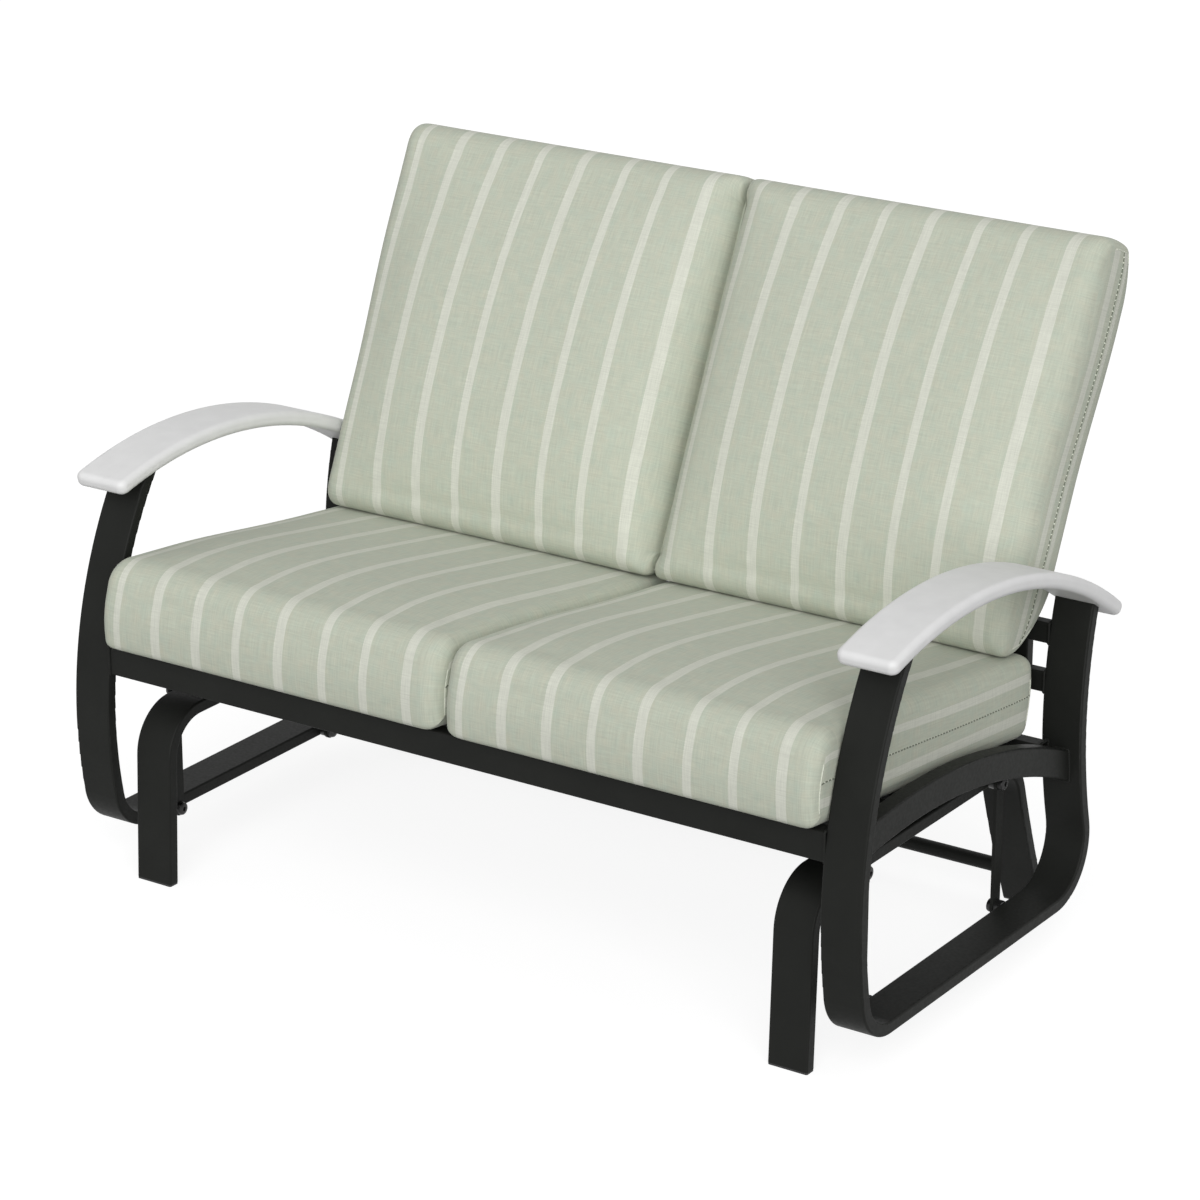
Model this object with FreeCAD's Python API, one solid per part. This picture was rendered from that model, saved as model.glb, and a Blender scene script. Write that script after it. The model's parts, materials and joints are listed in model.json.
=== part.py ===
import FreeCAD, Part
import math
import os

# Two-seat glider bench. Millimetres, +Z up, +Y to the back, +X to the right of someone who
# faces the bench. The origin lies on the floor under the middle of the whole bench.
# The left of the bench is its -X side.

V = FreeCAD.Vector
X_AXIS = V(1, 0, 0)

# Flat bar of the side frames and the base frames
BAR_WIDTH = 63.5
BAR_THICK = 19.0
BAR_WALL = 2.5
BAR_CORNER = 3.0

# Places across the bench
SEAT_INSIDE = 614.2
HANGER_ROOM = 27.0
BASE_OUTSIDE = SEAT_INSIDE - HANGER_ROOM
BASE_CENTRE = BASE_OUTSIDE - BAR_WIDTH / 2
SIDE_CENTRE = SEAT_INSIDE + BAR_WIDTH / 2

# Side frame, a loop open at the top
SEAT_LENGTH = 616.5
POST_RADIUS = 650.0
FRONT_POST_FACE_Y = -420.5
FRONT_POST_BULGE_Z = 246.0
FRONT_POST_SETBACK = 6.0
REAR_POST_FACE_Y = FRONT_POST_FACE_Y + SEAT_LENGTH
REAR_POST_BULGE_Z = 335.0
RUNNER_Z = 69.5
FRONT_BEND = 68.5
REAR_BEND = 82.5

# Arms
ARM_WIDTH = 93.5
ARM_THICK = 23.0
ARM_RADIUS = 760.0
ARM_PEAK_Y = FRONT_POST_FACE_Y + 254.5
ARM_PEAK_Z = 643.5
ARM_FRONT_Y = FRONT_POST_FACE_Y + 44.0
ARM_REAR_Y = REAR_POST_FACE_Y + 87.0
ARM_CORNER = 13.0
ARM_ROUND = 9.5
ARM_SEAT_GAP = 0.3
ARM_OUTSET = 3.75
ARM_INSIDE = SIDE_CENTRE + ARM_OUTSET - ARM_WIDTH / 2

# Arm fastening inside the post tops
END_PLATE_THICK = 4.0
ARM_SCREW_R = 2.5
ARM_SCREW_HEAD_R = 4.2
ARM_SCREW_HEAD = 2.6
ARM_SCREW_DEPTH = 13.0
ARM_SCREW_SPARE = 1.0
ARM_SCREW_SPREAD = 34.0

# Arched seat side rails
ARCH_RADIUS = 1044.0
ARCH_PEAK_Y = FRONT_POST_FACE_Y + 194.0
ARCH_PEAK_Z = 380.5
ARCH_ENDS = (106, 61)
ARCH_HEIGHT = 43.0
ARCH_WIDTH = 25.4

# Straight tubes of the seat and back
RAIL_DEPTH = 25.4
RAIL_WALL = 2.0
RAIL_CORNER = 2.5
FRONT_RAIL_FACE_Y = FRONT_POST_FACE_Y + 14.5
FRONT_RAIL_HEIGHT = 44.5
FRONT_RAIL_TOP = 369.5
REAR_RAIL_Y = REAR_POST_FACE_Y - 28.0
REAR_RAIL_HEIGHT = 25.4
BACK_RAIL_HEIGHT = 31.5
BACK_LOWER_RAIL_Z = 385.5
BACK_UPPER_RAIL_Z = 456.5

# Seat deck
DECK_DROP_ANGLE = 6.4
DECK_GAP = 0.3
SLAT_THICK = 12.0
SLAT_WIDTH = 50.0
SLAT_WALL = 1.6
SLAT_CORNER = 2.0
SEAT_SLAT_COUNT = 7
SPINE_HEIGHT = 19.0

# Back frame
RECLINE = 25.0
BACK_STILE_WIDTH = 25.4
BACK_STILE_DEPTH = 19.0
BACK_STILE_BEND = 110.0
BACK_STILE_BEND_DROP = 20.0
BACK_STILE_X = SEAT_INSIDE - 56.2
BACK_FRAME_RISE = 385.0
BACK_SLAT_ROWS = 4
BACK_SLAT_START = 0.4

# Base frame, an upside-down U
FRONT_FOOT_Y = FRONT_POST_FACE_Y + 35.0
FRONT_LEG_LEAN = 2.5
BASE_BEND = 67.5
BASE_RAIL_Z = 261.5
BASE_RAIL_REAR_Y = REAR_POST_FACE_Y - 64.0
REAR_LEG_LEAN = 17.0
REAR_LEG_FLARE = 1760.0
GLIDE_HEIGHT = 3.0
GLIDE_PLUG = 16.0
GLIDE_INSET = 0.4
STRETCHER_R = 11.1
STRETCHER_WALL = 2.0
STRETCHER_Z = 57.5
UPPER_STRETCHER_Y = BASE_RAIL_REAR_Y - 36.0
UPPER_STRETCHER_DEPTH = 38.0

# Hangers and their pivots
PIVOT_FRONT_Y = FRONT_FOOT_Y + 108.5
PIVOT_REAR_Y = BASE_RAIL_REAR_Y - 33.0
HANGER_WIDTH = 20.0
HANGER_THICK = 5.0
HANGER_END_R = 12.0
PIVOT_BOLT_R = 5.0
PIVOT_RUNNING_GAP = 0.05
PIVOT_THREAD_R = 4.0
PIVOT_HEAD_R = 10.0
PIVOT_HEAD = 6.0
BUSH_WALL = 2.0
BUSH_FLANGE_R = 10.5
BUSH_FLANGE = 2.0
SIDE_PLAY = 0.3
INSERT_R = 6.0
INSERT_LENGTH = 14.0
INSERT_FLANGE_R = 8.5
INSERT_FLANGE = 1.0
PRESS_GAP = 0.02
THREAD_GAP = 0.05
WELD_GAP = 0.05
PLATE_GAP = 0.2

# Cutting tools reach past what they cut, and a thin tube keeps some corner inside
CUT_OVER = 1.0
LEAST_CORNER = 0.8
FAR = 2 * SEAT_INSIDE

# Cushions
CUSHION_SPLIT = 6.0
CUSHION_GAP = 0.6
SEAT_CUSHION_FRONT_Y = FRONT_POST_FACE_Y - 5.5
SEAT_CUSHION_DEPTH = SEAT_LENGTH - 12.5
SEAT_CUSHION_THICK = 134.0
SEAT_CROWN = 12.0
SEAT_CUSHION_WIDTH = SEAT_INSIDE - 3.2 - CUSHION_SPLIT / 2
SEAT_FRONT_ROUND = 42.0
SEAT_REAR_ROUND = 24.0
SEAT_FOOT = (14.0, 14.0, 4.1)
SEAT_HEEL = (24.0, 24.0, 7.0)
SEAT_SLANT = 12.0
SEAT_BOW = 5.0
BACK_CUSHION_HEIGHT = 604.0
BACK_CUSHION_THICK = 122.0
BACK_CROWN = 40.0
BACK_CUSHION_WIDTH = ARM_INSIDE - 0.95 - CUSHION_SPLIT / 2
BACK_CUSHION_LIFT = 6.2
BACK_TOP_ROUND = 40.0
BACK_LOW_ROUND = 24.0
BACK_FOOT = (92.0, 56.0, 8.0)
BACK_HEEL = (110.0, 45.0, 8.0)
BACK_SLANT = 14.0
BACK_BOW = 2.0


def yz(y, z):
    return V(0, y, z)


def polar(centre, radius, degrees):
    angle = math.radians(degrees)
    return centre + V(0, radius * math.cos(angle), radius * math.sin(angle))


def arc(centre, radius, start, end):
    middle = (start + end) / 2
    points = [polar(centre, radius, a) for a in (start, middle, end)]
    return Part.Arc(*points).toShape()


def line(a, b):
    return Part.LineSegment(a, b).toShape()


def angle_of(centre, point):
    return math.degrees(math.atan2(point.z - centre.z, point.y - centre.y))


def moved(shape, x=0.0, y=0.0, z=0.0):
    copy = shape.copy()
    copy.translate(V(x, y, z))
    return copy


def drum(centre, radius):
    """A round bar along X, used to trim bar ends to a curve."""
    return Part.makeCylinder(radius, 2 * FAR, centre - X_AXIS * FAR, X_AXIS)


def slab(z_low, z_high):
    """Everything between two heights."""
    return Part.makeBox(2 * FAR, 2 * FAR, z_high - z_low, V(-FAR, -FAR, z_low))


def rounded_section(centre, tangent, width, depth, corner):
    """Rounded rectangle, its width along X and its depth square to X and to the tangent."""
    across = tangent.cross(X_AXIS).normalize()
    half_w = width / 2
    half_d = depth / 2
    edges = []
    turns = [(1, 1), (-1, 1), (-1, -1), (1, -1)]

    def place(x, d):
        return centre + X_AXIS * x + across * d

    for index, (sx, sd) in enumerate(turns):
        middle_x = sx * (half_w - corner)
        middle_d = sd * (half_d - corner)
        first = place(middle_x + sx * corner, middle_d)
        last = place(middle_x, middle_d + sd * corner)
        bulge = corner / math.sqrt(2)
        mid = place(middle_x + sx * bulge, middle_d + sd * bulge)
        if index % 2:
            first, last = last, first
        edges.append(Part.Arc(first, mid, last).toShape())
    wires = []
    for index, edge in enumerate(edges):
        following = edges[(index + 1) % 4]
        wires.append(edge)
        wires.append(line(edge.lastVertex().Point, following.firstVertex().Point))
    return Part.Wire(wires)


def swept(path, width, depth, corner):
    """Solid bar along a path that lies in a plane square to X."""
    spine = Part.Wire(path)
    edge = path[0]
    start = edge.valueAt(edge.FirstParameter)
    tangent = edge.tangentAt(edge.FirstParameter)
    profile = rounded_section(start, tangent, width, depth, corner)
    return spine.makePipeShell([profile], True, False)


def bar_core(path, width, depth, wall, corner, gap=0.0):
    """The hollow inside of a swept tube, less a gap all round."""
    inset = 2 * (wall + gap)
    return swept(path, width - inset, depth - inset, max(corner - wall, LEAST_CORNER))


def swept_tube(path, width, depth, wall, corner):
    return swept(path, width, depth, corner).cut(bar_core(path, width, depth, wall, corner))


def cross_tube(half_length, y, z, depth, height, wall, corner, tilt=0.0, x_middle=0.0):
    """Rectangular tube along X, centred on (y, z), its depth along Y before it is tilted."""
    def block(d, h, r):
        body = Part.makeBox(2 * half_length, d, h, V(x_middle - half_length, -d / 2, -h / 2))
        long_edges = [e for e in body.Edges if abs(e.tangentAt(e.FirstParameter).x) > 0.99]
        return body.makeFillet(r, long_edges)

    outer = block(depth, height, corner)
    inner = block(depth - 2 * wall, height - 2 * wall, max(corner - wall, LEAST_CORNER))
    tube = outer.cut(inner)
    tube.rotate(V(0, 0, 0), X_AXIS, tilt)
    return moved(tube, 0, y, z)


def disc(x_from, x_to, y, z, radius):
    """Round disc or pin along X between two places across the bench."""
    length = abs(x_to - x_from)
    return Part.makeCylinder(radius, length, V(min(x_from, x_to), y, z), X_AXIS)


def export(name, solids):
    shape = solids[0] if len(solids) == 1 else Part.makeCompound(solids)
    shape.exportStep("parts/" + name + ".step")


# Circles that shape the side frame
HALF_BAR = BAR_THICK / 2
POST_MIDDLE = POST_RADIUS - HALF_BAR
FRONT_POST_LINE = FRONT_POST_FACE_Y + FRONT_POST_SETBACK
FRONT_POST_CENTRE = yz(FRONT_POST_LINE + POST_RADIUS, FRONT_POST_BULGE_Z)
REAR_POST_CENTRE = yz(REAR_POST_FACE_Y + POST_RADIUS, REAR_POST_BULGE_Z)
ARM_CENTRE = yz(ARM_PEAK_Y, ARM_PEAK_Z - ARM_RADIUS)
ARM_UNDER = ARM_RADIUS - ARM_THICK
ARCH_CENTRE = yz(ARCH_PEAK_Y, ARCH_PEAK_Z - ARCH_RADIUS)


def front_bend_centre():
    rise = RUNNER_Z + FRONT_BEND
    drop = FRONT_POST_CENTRE.z - rise
    reach = math.sqrt((POST_MIDDLE - FRONT_BEND) ** 2 - drop ** 2)
    return yz(FRONT_POST_CENTRE.y - reach, rise)


def rear_bend_centre():
    rise = RUNNER_Z + REAR_BEND
    drop = REAR_POST_CENTRE.z - rise
    reach = math.sqrt((POST_MIDDLE + REAR_BEND) ** 2 - drop ** 2)
    return yz(REAR_POST_CENTRE.y - reach, rise)


def rear_post_y(z, radius):
    """Y of the rear post on one of its circles at a height."""
    return REAR_POST_CENTRE.y - math.sqrt(radius ** 2 - (z - REAR_POST_CENTRE.z) ** 2)


def meet(centre_a, radius_a, centre_b, radius_b, front):
    """Where two circles cross above the seat, the front or the rear crossing."""
    apart = (centre_b - centre_a).Length
    along = (apart ** 2 + radius_a ** 2 - radius_b ** 2) / (2 * apart)
    aside = math.sqrt(radius_a ** 2 - along ** 2)
    direction = (centre_b - centre_a).normalize()
    normal = V(0, -direction.z, direction.y)
    foot = centre_a + direction * along
    crossings = [foot + normal * aside, foot - normal * aside]
    above = [p for p in crossings if p.z > ARCH_PEAK_Z]
    return sorted(above, key=lambda p: p.y)[0 if front else -1]


def side_path(x):
    """Middle line of the side frame, from above the front arm end round to above the rear."""
    front = front_bend_centre()
    rear = rear_bend_centre()
    over = 4.0
    front_top = meet(FRONT_POST_CENTRE, POST_MIDDLE, ARM_CENTRE, ARM_UNDER, True)
    rear_top = meet(REAR_POST_CENTRE, POST_MIDDLE, ARM_CENTRE, ARM_UNDER, False)
    front_start = angle_of(FRONT_POST_CENTRE, front_top) - over
    front_turn = 360 + angle_of(FRONT_POST_CENTRE, front)
    rear_turn = angle_of(rear, REAR_POST_CENTRE)
    rear_start = 180 + rear_turn
    rear_end = angle_of(REAR_POST_CENTRE, rear_top) - over
    path = [
        arc(FRONT_POST_CENTRE, POST_MIDDLE, front_start, front_turn),
        arc(front, FRONT_BEND, front_turn, 270),
        line(yz(front.y, RUNNER_Z), yz(rear.y, RUNNER_Z)),
        arc(rear, REAR_BEND, -90, rear_turn),
        arc(REAR_POST_CENTRE, POST_MIDDLE, rear_start, rear_end),
    ]
    return [moved(edge, x) for edge in path]


def post_tops():
    """Middle of the end plate in each post, front then rear."""
    radius = ARM_UNDER - ARM_SEAT_GAP - END_PLATE_THICK / 2
    return [
        meet(FRONT_POST_CENTRE, POST_MIDDLE, ARM_CENTRE, radius, True),
        meet(REAR_POST_CENTRE, POST_MIDDLE, ARM_CENTRE, radius, False),
    ]


def post_block(top, low, high):
    """Block across both posts of a pair, square to the arm, between two distances from top."""
    out = (top - ARM_CENTRE).normalize()
    along = V(0, out.z, -out.y) * (3 * BAR_THICK)
    corners = [top - along + out * low, top + along + out * low,
               top + along + out * high, top - along + out * high]
    face = Part.Face(Part.makePolygon(corners + corners[:1]))
    face.translate(X_AXIS * -FAR)
    return face.extrude(X_AXIS * 2 * FAR)


def side_frame(side):
    path = side_path(side * SIDE_CENTRE)
    tube = swept_tube(path, BAR_WIDTH, BAR_THICK, BAR_WALL, BAR_CORNER)
    for top in post_tops():
        tube = tube.cut(post_block(top, END_PLATE_THICK / 2, 5 * BAR_THICK))
    for y in (PIVOT_FRONT_Y, PIVOT_REAR_Y):
        hole = disc(side * (SEAT_INSIDE - CUT_OVER), side * (SEAT_INSIDE + 2 * BAR_WALL), y,
                    RUNNER_Z, INSERT_R + PRESS_GAP)
        tube = tube.cut(hole)
    return tube


def arm_screw_places(side):
    """Start point under the end plate and direction into the arm, for each arm screw."""
    places = []
    for top in post_tops():
        into_arm = (top - ARM_CENTRE).normalize()
        base = top - into_arm * (END_PLATE_THICK / 2)
        for shift in (-ARM_SCREW_SPREAD / 2, ARM_SCREW_SPREAD / 2):
            places.append((base + X_AXIS * (side * SIDE_CENTRE + shift), into_arm))
    return places


def arm_screws():
    screws = []
    length = END_PLATE_THICK + ARM_SEAT_GAP + ARM_SCREW_DEPTH
    for side in (-1, 1):
        for start, direction in arm_screw_places(side):
            shank = Part.makeCylinder(ARM_SCREW_R, length, start, direction)
            head_start = start - direction * ARM_SCREW_HEAD
            head = Part.makeCylinder(ARM_SCREW_HEAD_R, ARM_SCREW_HEAD, head_start, direction)
            screws.append(shank.fuse(head).removeSplitter())
    return screws


def end_plates():
    """Small plates that close the posts under the arms and hold the arm screws."""
    plates = []
    half = END_PLATE_THICK / 2
    for side in (-1, 1):
        path = side_path(side * SIDE_CENTRE)
        core = bar_core(path, BAR_WIDTH, BAR_THICK, BAR_WALL, BAR_CORNER, PLATE_GAP)
        holes = [Part.makeCylinder(ARM_SCREW_R + THREAD_GAP, 3 * END_PLATE_THICK,
                                   start - direction * END_PLATE_THICK, direction)
                 for start, direction in arm_screw_places(side)]
        for top in post_tops():
            plates.extend(core.common(post_block(top, -half, half)).cut(holes).Solids)
    return plates


def arm(side):
    """Arched board with rounded corners and edges, blind screw holes in its underside."""
    start = math.degrees(math.acos((ARM_REAR_Y - ARM_PEAK_Y) / ARM_RADIUS))
    end = math.degrees(math.acos((ARM_FRONT_Y - ARM_PEAK_Y) / ARM_RADIUS))
    outline = Part.Wire([
        arc(ARM_CENTRE, ARM_RADIUS, start, end),
        line(polar(ARM_CENTRE, ARM_RADIUS, end), polar(ARM_CENTRE, ARM_UNDER, end)),
        arc(ARM_CENTRE, ARM_UNDER, end, start),
        line(polar(ARM_CENTRE, ARM_UNDER, start), polar(ARM_CENTRE, ARM_RADIUS, start)),
    ])
    board = Part.Face(outline).extrude(X_AXIS * ARM_WIDTH)
    board.translate(V(side * (SIDE_CENTRE + ARM_OUTSET) - ARM_WIDTH / 2, 0, 0))
    upright = [e for e in board.Edges if abs(e.Length - ARM_THICK) < 0.01]
    board = board.makeFillet(ARM_CORNER, upright)
    rims = []
    for edge in board.Edges:
        middle = edge.valueAt((edge.FirstParameter + edge.LastParameter) / 2)
        ends = [vertex.Point for vertex in edge.Vertexes] + [middle]
        reach = [math.hypot(p.y - ARM_CENTRE.y, p.z - ARM_CENTRE.z) for p in ends]
        on_top = all(abs(r - ARM_RADIUS) < 0.05 for r in reach)
        on_under = all(abs(r - ARM_UNDER) < 0.05 for r in reach)
        if on_top or on_under:
            rims.append(edge)
    board = board.makeFillet(ARM_ROUND, rims)
    for point, direction in arm_screw_places(side):
        hole_length = END_PLATE_THICK + ARM_SEAT_GAP + ARM_SCREW_DEPTH + ARM_SCREW_SPARE
        hole = Part.makeCylinder(ARM_SCREW_R + THREAD_GAP, hole_length, point, direction)
        board = board.cut(hole)
    return board


def seat_side_rail(side):
    middle = ARCH_RADIUS - ARCH_HEIGHT / 2
    path = [moved(arc(ARCH_CENTRE, middle, *ARCH_ENDS), side * SIDE_CENTRE)]
    rail = swept_tube(path, ARCH_WIDTH, ARCH_HEIGHT, RAIL_WALL, RAIL_CORNER)
    rail = rail.common(drum(FRONT_POST_CENTRE, POST_RADIUS - BAR_THICK - WELD_GAP))
    return rail.cut(drum(REAR_POST_CENTRE, POST_RADIUS + WELD_GAP))


def front_rail():
    y = FRONT_RAIL_FACE_Y + RAIL_DEPTH / 2
    z = FRONT_RAIL_TOP - FRONT_RAIL_HEIGHT / 2
    return cross_tube(SEAT_INSIDE, y, z, RAIL_DEPTH, FRONT_RAIL_HEIGHT, RAIL_WALL, RAIL_CORNER)


ARCH_INSIDE = SIDE_CENTRE - ARCH_WIDTH / 2
DECK_SLOPE = math.tan(math.radians(DECK_DROP_ANGLE))
DECK_START_Y = FRONT_RAIL_FACE_Y + RAIL_DEPTH
REAR_RAIL_BACK_Y = REAR_RAIL_Y + RAIL_DEPTH / 2


def deck_z(y):
    """Height of the plane that the seat slats share on top."""
    return FRONT_RAIL_TOP + DECK_GAP - DECK_SLOPE * (y - DECK_START_Y)


def rear_seat_rail():
    z = deck_z(REAR_RAIL_BACK_Y) - REAR_RAIL_HEIGHT / 2
    return cross_tube(ARCH_INSIDE, REAR_RAIL_Y, z, RAIL_DEPTH, REAR_RAIL_HEIGHT, RAIL_WALL,
                      RAIL_CORNER)


def seat_slats():
    """Flat tubes from arch to arch, evenly spread between the front and the rear rail."""
    first = DECK_START_Y + SLAT_WIDTH / 2
    last = REAR_RAIL_Y - RAIL_DEPTH / 2 - SLAT_WIDTH / 2
    space = (last - first) / SEAT_SLAT_COUNT
    slats = []
    for index in range(SEAT_SLAT_COUNT):
        y = first + space * (index + 0.5)
        z = deck_z(y) - SLAT_THICK / 2 / math.cos(math.radians(DECK_DROP_ANGLE))
        slats.append(cross_tube(ARCH_INSIDE, y, z, SLAT_WIDTH, SLAT_THICK, SLAT_WALL,
                                SLAT_CORNER, -DECK_DROP_ANGLE))
    return slats


def seat_spine():
    """Tube under the slats, from the front rail to the rear seat rail."""
    drop = (SLAT_THICK + SPINE_HEIGHT / 2) / math.cos(math.radians(DECK_DROP_ANGLE))
    front_y = DECK_START_Y
    rear_y = REAR_RAIL_Y - RAIL_DEPTH / 2
    over = SPINE_HEIGHT
    start = yz(front_y - over, deck_z(front_y - over) - drop)
    end = yz(rear_y + over, deck_z(rear_y + over) - drop)
    tube = swept_tube([line(start, end)], RAIL_DEPTH, SPINE_HEIGHT, RAIL_WALL, RAIL_CORNER)
    keep = Part.makeBox(2 * RAIL_DEPTH, rear_y - front_y, FRONT_RAIL_TOP,
                        V(-RAIL_DEPTH, front_y, 0))
    return tube.common(keep)


def back_rail(z):
    """Cross tube between the rear posts, as deep as they are thick and in line with them."""
    y = rear_post_y(z, POST_MIDDLE)
    return cross_tube(SEAT_INSIDE, y, z, BAR_THICK, BACK_RAIL_HEIGHT, RAIL_WALL, RAIL_CORNER)


def back_rail_rear_y():
    rears = [rear_post_y(z, POST_MIDDLE) for z in (BACK_LOWER_RAIL_Z, BACK_UPPER_RAIL_Z)]
    return max(rears) + HALF_BAR


# The back plane leans back from the top rear edge of the upper back rail
LEAN = math.radians(RECLINE)
BACK_UP = yz(math.sin(LEAN), math.cos(LEAN))
BACK_OUT = yz(math.cos(LEAN), -math.sin(LEAN))
STILE_LOW_Z = BACK_LOWER_RAIL_Z - BACK_RAIL_HEIGHT / 2
STILE_BEND_Z = BACK_UPPER_RAIL_Z + BACK_RAIL_HEIGHT / 2 - BACK_STILE_BEND_DROP


def stile_line():
    """Middle line of a back stile: upright against the back rails, then leaning back."""
    y = back_rail_rear_y() + BACK_STILE_DEPTH / 2
    bend_centre = yz(y + BACK_STILE_BEND, STILE_BEND_Z)
    bend_end = polar(bend_centre, BACK_STILE_BEND, 180 - RECLINE)
    return y, bend_centre, bend_end


def back_stile(x):
    y, bend_centre, bend_end = stile_line()
    path = [
        line(yz(y, STILE_LOW_Z), yz(y, STILE_BEND_Z)),
        arc(bend_centre, BACK_STILE_BEND, 180, 180 - RECLINE),
        line(bend_end, bend_end + BACK_UP * BACK_FRAME_RISE),
    ]
    path = [moved(edge, x) for edge in path]
    return swept_tube(path, BACK_STILE_WIDTH, BACK_STILE_DEPTH, RAIL_WALL, RAIL_CORNER)


def back_point(rise, out):
    """Point of the back frame: up along the lean from the stile bend, out behind its middle."""
    return stile_line()[2] + BACK_UP * rise + BACK_OUT * out


def back_top_rail():
    centre = back_point(BACK_FRAME_RISE + BACK_STILE_WIDTH / 2, 0)
    half = BACK_STILE_X + BACK_STILE_WIDTH / 2
    return cross_tube(half, centre.y, centre.z, BACK_STILE_DEPTH, BACK_STILE_WIDTH, RAIL_WALL,
                      RAIL_CORNER, -RECLINE)


def back_slats():
    """Flat tubes between the stiles, flush with the front of the stiles."""
    slats = []
    bay = BACK_STILE_X - BACK_STILE_WIDTH
    pitch = BACK_FRAME_RISE / BACK_SLAT_ROWS
    for row in range(BACK_SLAT_ROWS):
        centre = back_point(pitch * (row + BACK_SLAT_START), (SLAT_THICK - BACK_STILE_DEPTH) / 2)
        for side in (-1, 1):
            slats.append(cross_tube(bay / 2, centre.y, centre.z, SLAT_THICK, SLAT_WIDTH,
                                    SLAT_WALL, SLAT_CORNER, -RECLINE,
                                    side * BACK_STILE_X / 2))
    return slats


def base_path(x):
    """Middle line of a base frame: front foot, up, along the top and down to the rear foot."""
    lean = math.radians(FRONT_LEG_LEAN)
    bend_z = BASE_RAIL_Z - BASE_BEND
    leg_y = FRONT_FOOT_Y + bend_z * math.tan(lean)
    front = yz(leg_y + BASE_BEND / math.cos(lean), bend_z)
    leg_top = polar(front, BASE_BEND, 180 - FRONT_LEG_LEAN)
    rear = yz(BASE_RAIL_REAR_Y, bend_z)
    knee = polar(rear, BASE_BEND, REAR_LEG_LEAN)
    flare = knee + yz(math.cos(math.radians(REAR_LEG_LEAN)),
                      math.sin(math.radians(REAR_LEG_LEAN))) * REAR_LEG_FLARE
    below = 20.0
    foot_sine = (flare.z + below) / REAR_LEG_FLARE
    foot_angle = 180 + math.degrees(math.asin(foot_sine))
    path = [
        line(yz(FRONT_FOOT_Y - below * math.tan(lean), -below), leg_top),
        arc(front, BASE_BEND, 180 - FRONT_LEG_LEAN, 90),
        line(yz(front.y, BASE_RAIL_Z), yz(rear.y, BASE_RAIL_Z)),
        arc(rear, BASE_BEND, 90, REAR_LEG_LEAN),
        arc(flare, REAR_LEG_FLARE, 180 + REAR_LEG_LEAN, foot_angle),
    ]
    return [moved(edge, x) for edge in path], flare


def rear_leg_y(z):
    """Middle of the rear leg at a height above the floor."""
    flare = base_path(0)[1]
    return flare.y - math.sqrt(REAR_LEG_FLARE ** 2 - (flare.z - z) ** 2)


def base_frame(side):
    path = base_path(side * BASE_CENTRE)[0]
    tube = swept_tube(path, BAR_WIDTH, BAR_THICK, BAR_WALL, BAR_CORNER)
    tube = tube.common(slab(GLIDE_HEIGHT, BASE_RAIL_Z + BAR_THICK))
    for y in (PIVOT_FRONT_Y, PIVOT_REAR_Y):
        hole = disc(side * (BASE_OUTSIDE + CUT_OVER), side * (BASE_OUTSIDE - 2 * BAR_WALL), y,
                    BASE_RAIL_Z, INSERT_R + PRESS_GAP)
        tube = tube.cut(hole)
    return tube


def foot_glides():
    """Plastic plugs: a sole under each leg end and a stub up inside it."""
    glides = []
    for side in (-1, 1):
        path = base_path(side * BASE_CENTRE)[0]
        sole_bar = swept(path, BAR_WIDTH - GLIDE_INSET, BAR_THICK - GLIDE_INSET, BAR_CORNER)
        stub_bar = bar_core(path, BAR_WIDTH, BAR_THICK, BAR_WALL, BAR_CORNER, GLIDE_INSET / 2)
        soles = sole_bar.common(slab(0, GLIDE_HEIGHT)).Solids
        stubs = stub_bar.common(slab(GLIDE_HEIGHT, GLIDE_HEIGHT + GLIDE_PLUG)).Solids
        for sole in soles:
            stub = min(stubs, key=lambda s: abs(s.CenterOfMass.y - sole.CenterOfMass.y))
            glides.append(sole.fuse(stub).removeSplitter())
    return glides


def rear_stretcher():
    half = BASE_OUTSIDE - BAR_WIDTH
    y = rear_leg_y(STRETCHER_Z)
    outer = disc(-half, half, y, STRETCHER_Z, STRETCHER_R)
    return outer.cut(disc(-half, half, y, STRETCHER_Z, STRETCHER_R - STRETCHER_WALL))


def upper_stretcher():
    half = BASE_OUTSIDE - BAR_WIDTH
    return cross_tube(half, UPPER_STRETCHER_Y, BASE_RAIL_Z, UPPER_STRETCHER_DEPTH, BAR_THICK,
                      RAIL_WALL, RAIL_CORNER)


# Places across one hanger, from its middle out to the two faces that it runs between
HANGER_X = BASE_OUTSIDE + HANGER_ROOM / 2
HALF_HANGER = HANGER_THICK / 2
FLANGE_OUT = HALF_HANGER + BUSH_FLANGE


def hanger(side, y):
    """Flat link with round ends and a bushed hole at each end."""
    low = HANGER_X - HALF_HANGER
    high = HANGER_X + HALF_HANGER
    link = Part.makeBox(HANGER_THICK, HANGER_WIDTH, BASE_RAIL_Z - RUNNER_Z,
                        V(min(side * low, side * high), y - HANGER_WIDTH / 2, RUNNER_Z))
    ends = [disc(side * low, side * high, y, z, HANGER_END_R)
            for z in (RUNNER_Z, BASE_RAIL_Z)]
    link = link.fuse(ends).removeSplitter()
    for z in (RUNNER_Z, BASE_RAIL_Z):
        radius = PIVOT_BOLT_R + PIVOT_RUNNING_GAP + BUSH_WALL + PRESS_GAP
        link = link.cut(disc(side * (low - CUT_OVER), side * (high + CUT_OVER), y, z, radius))
    return link


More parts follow.
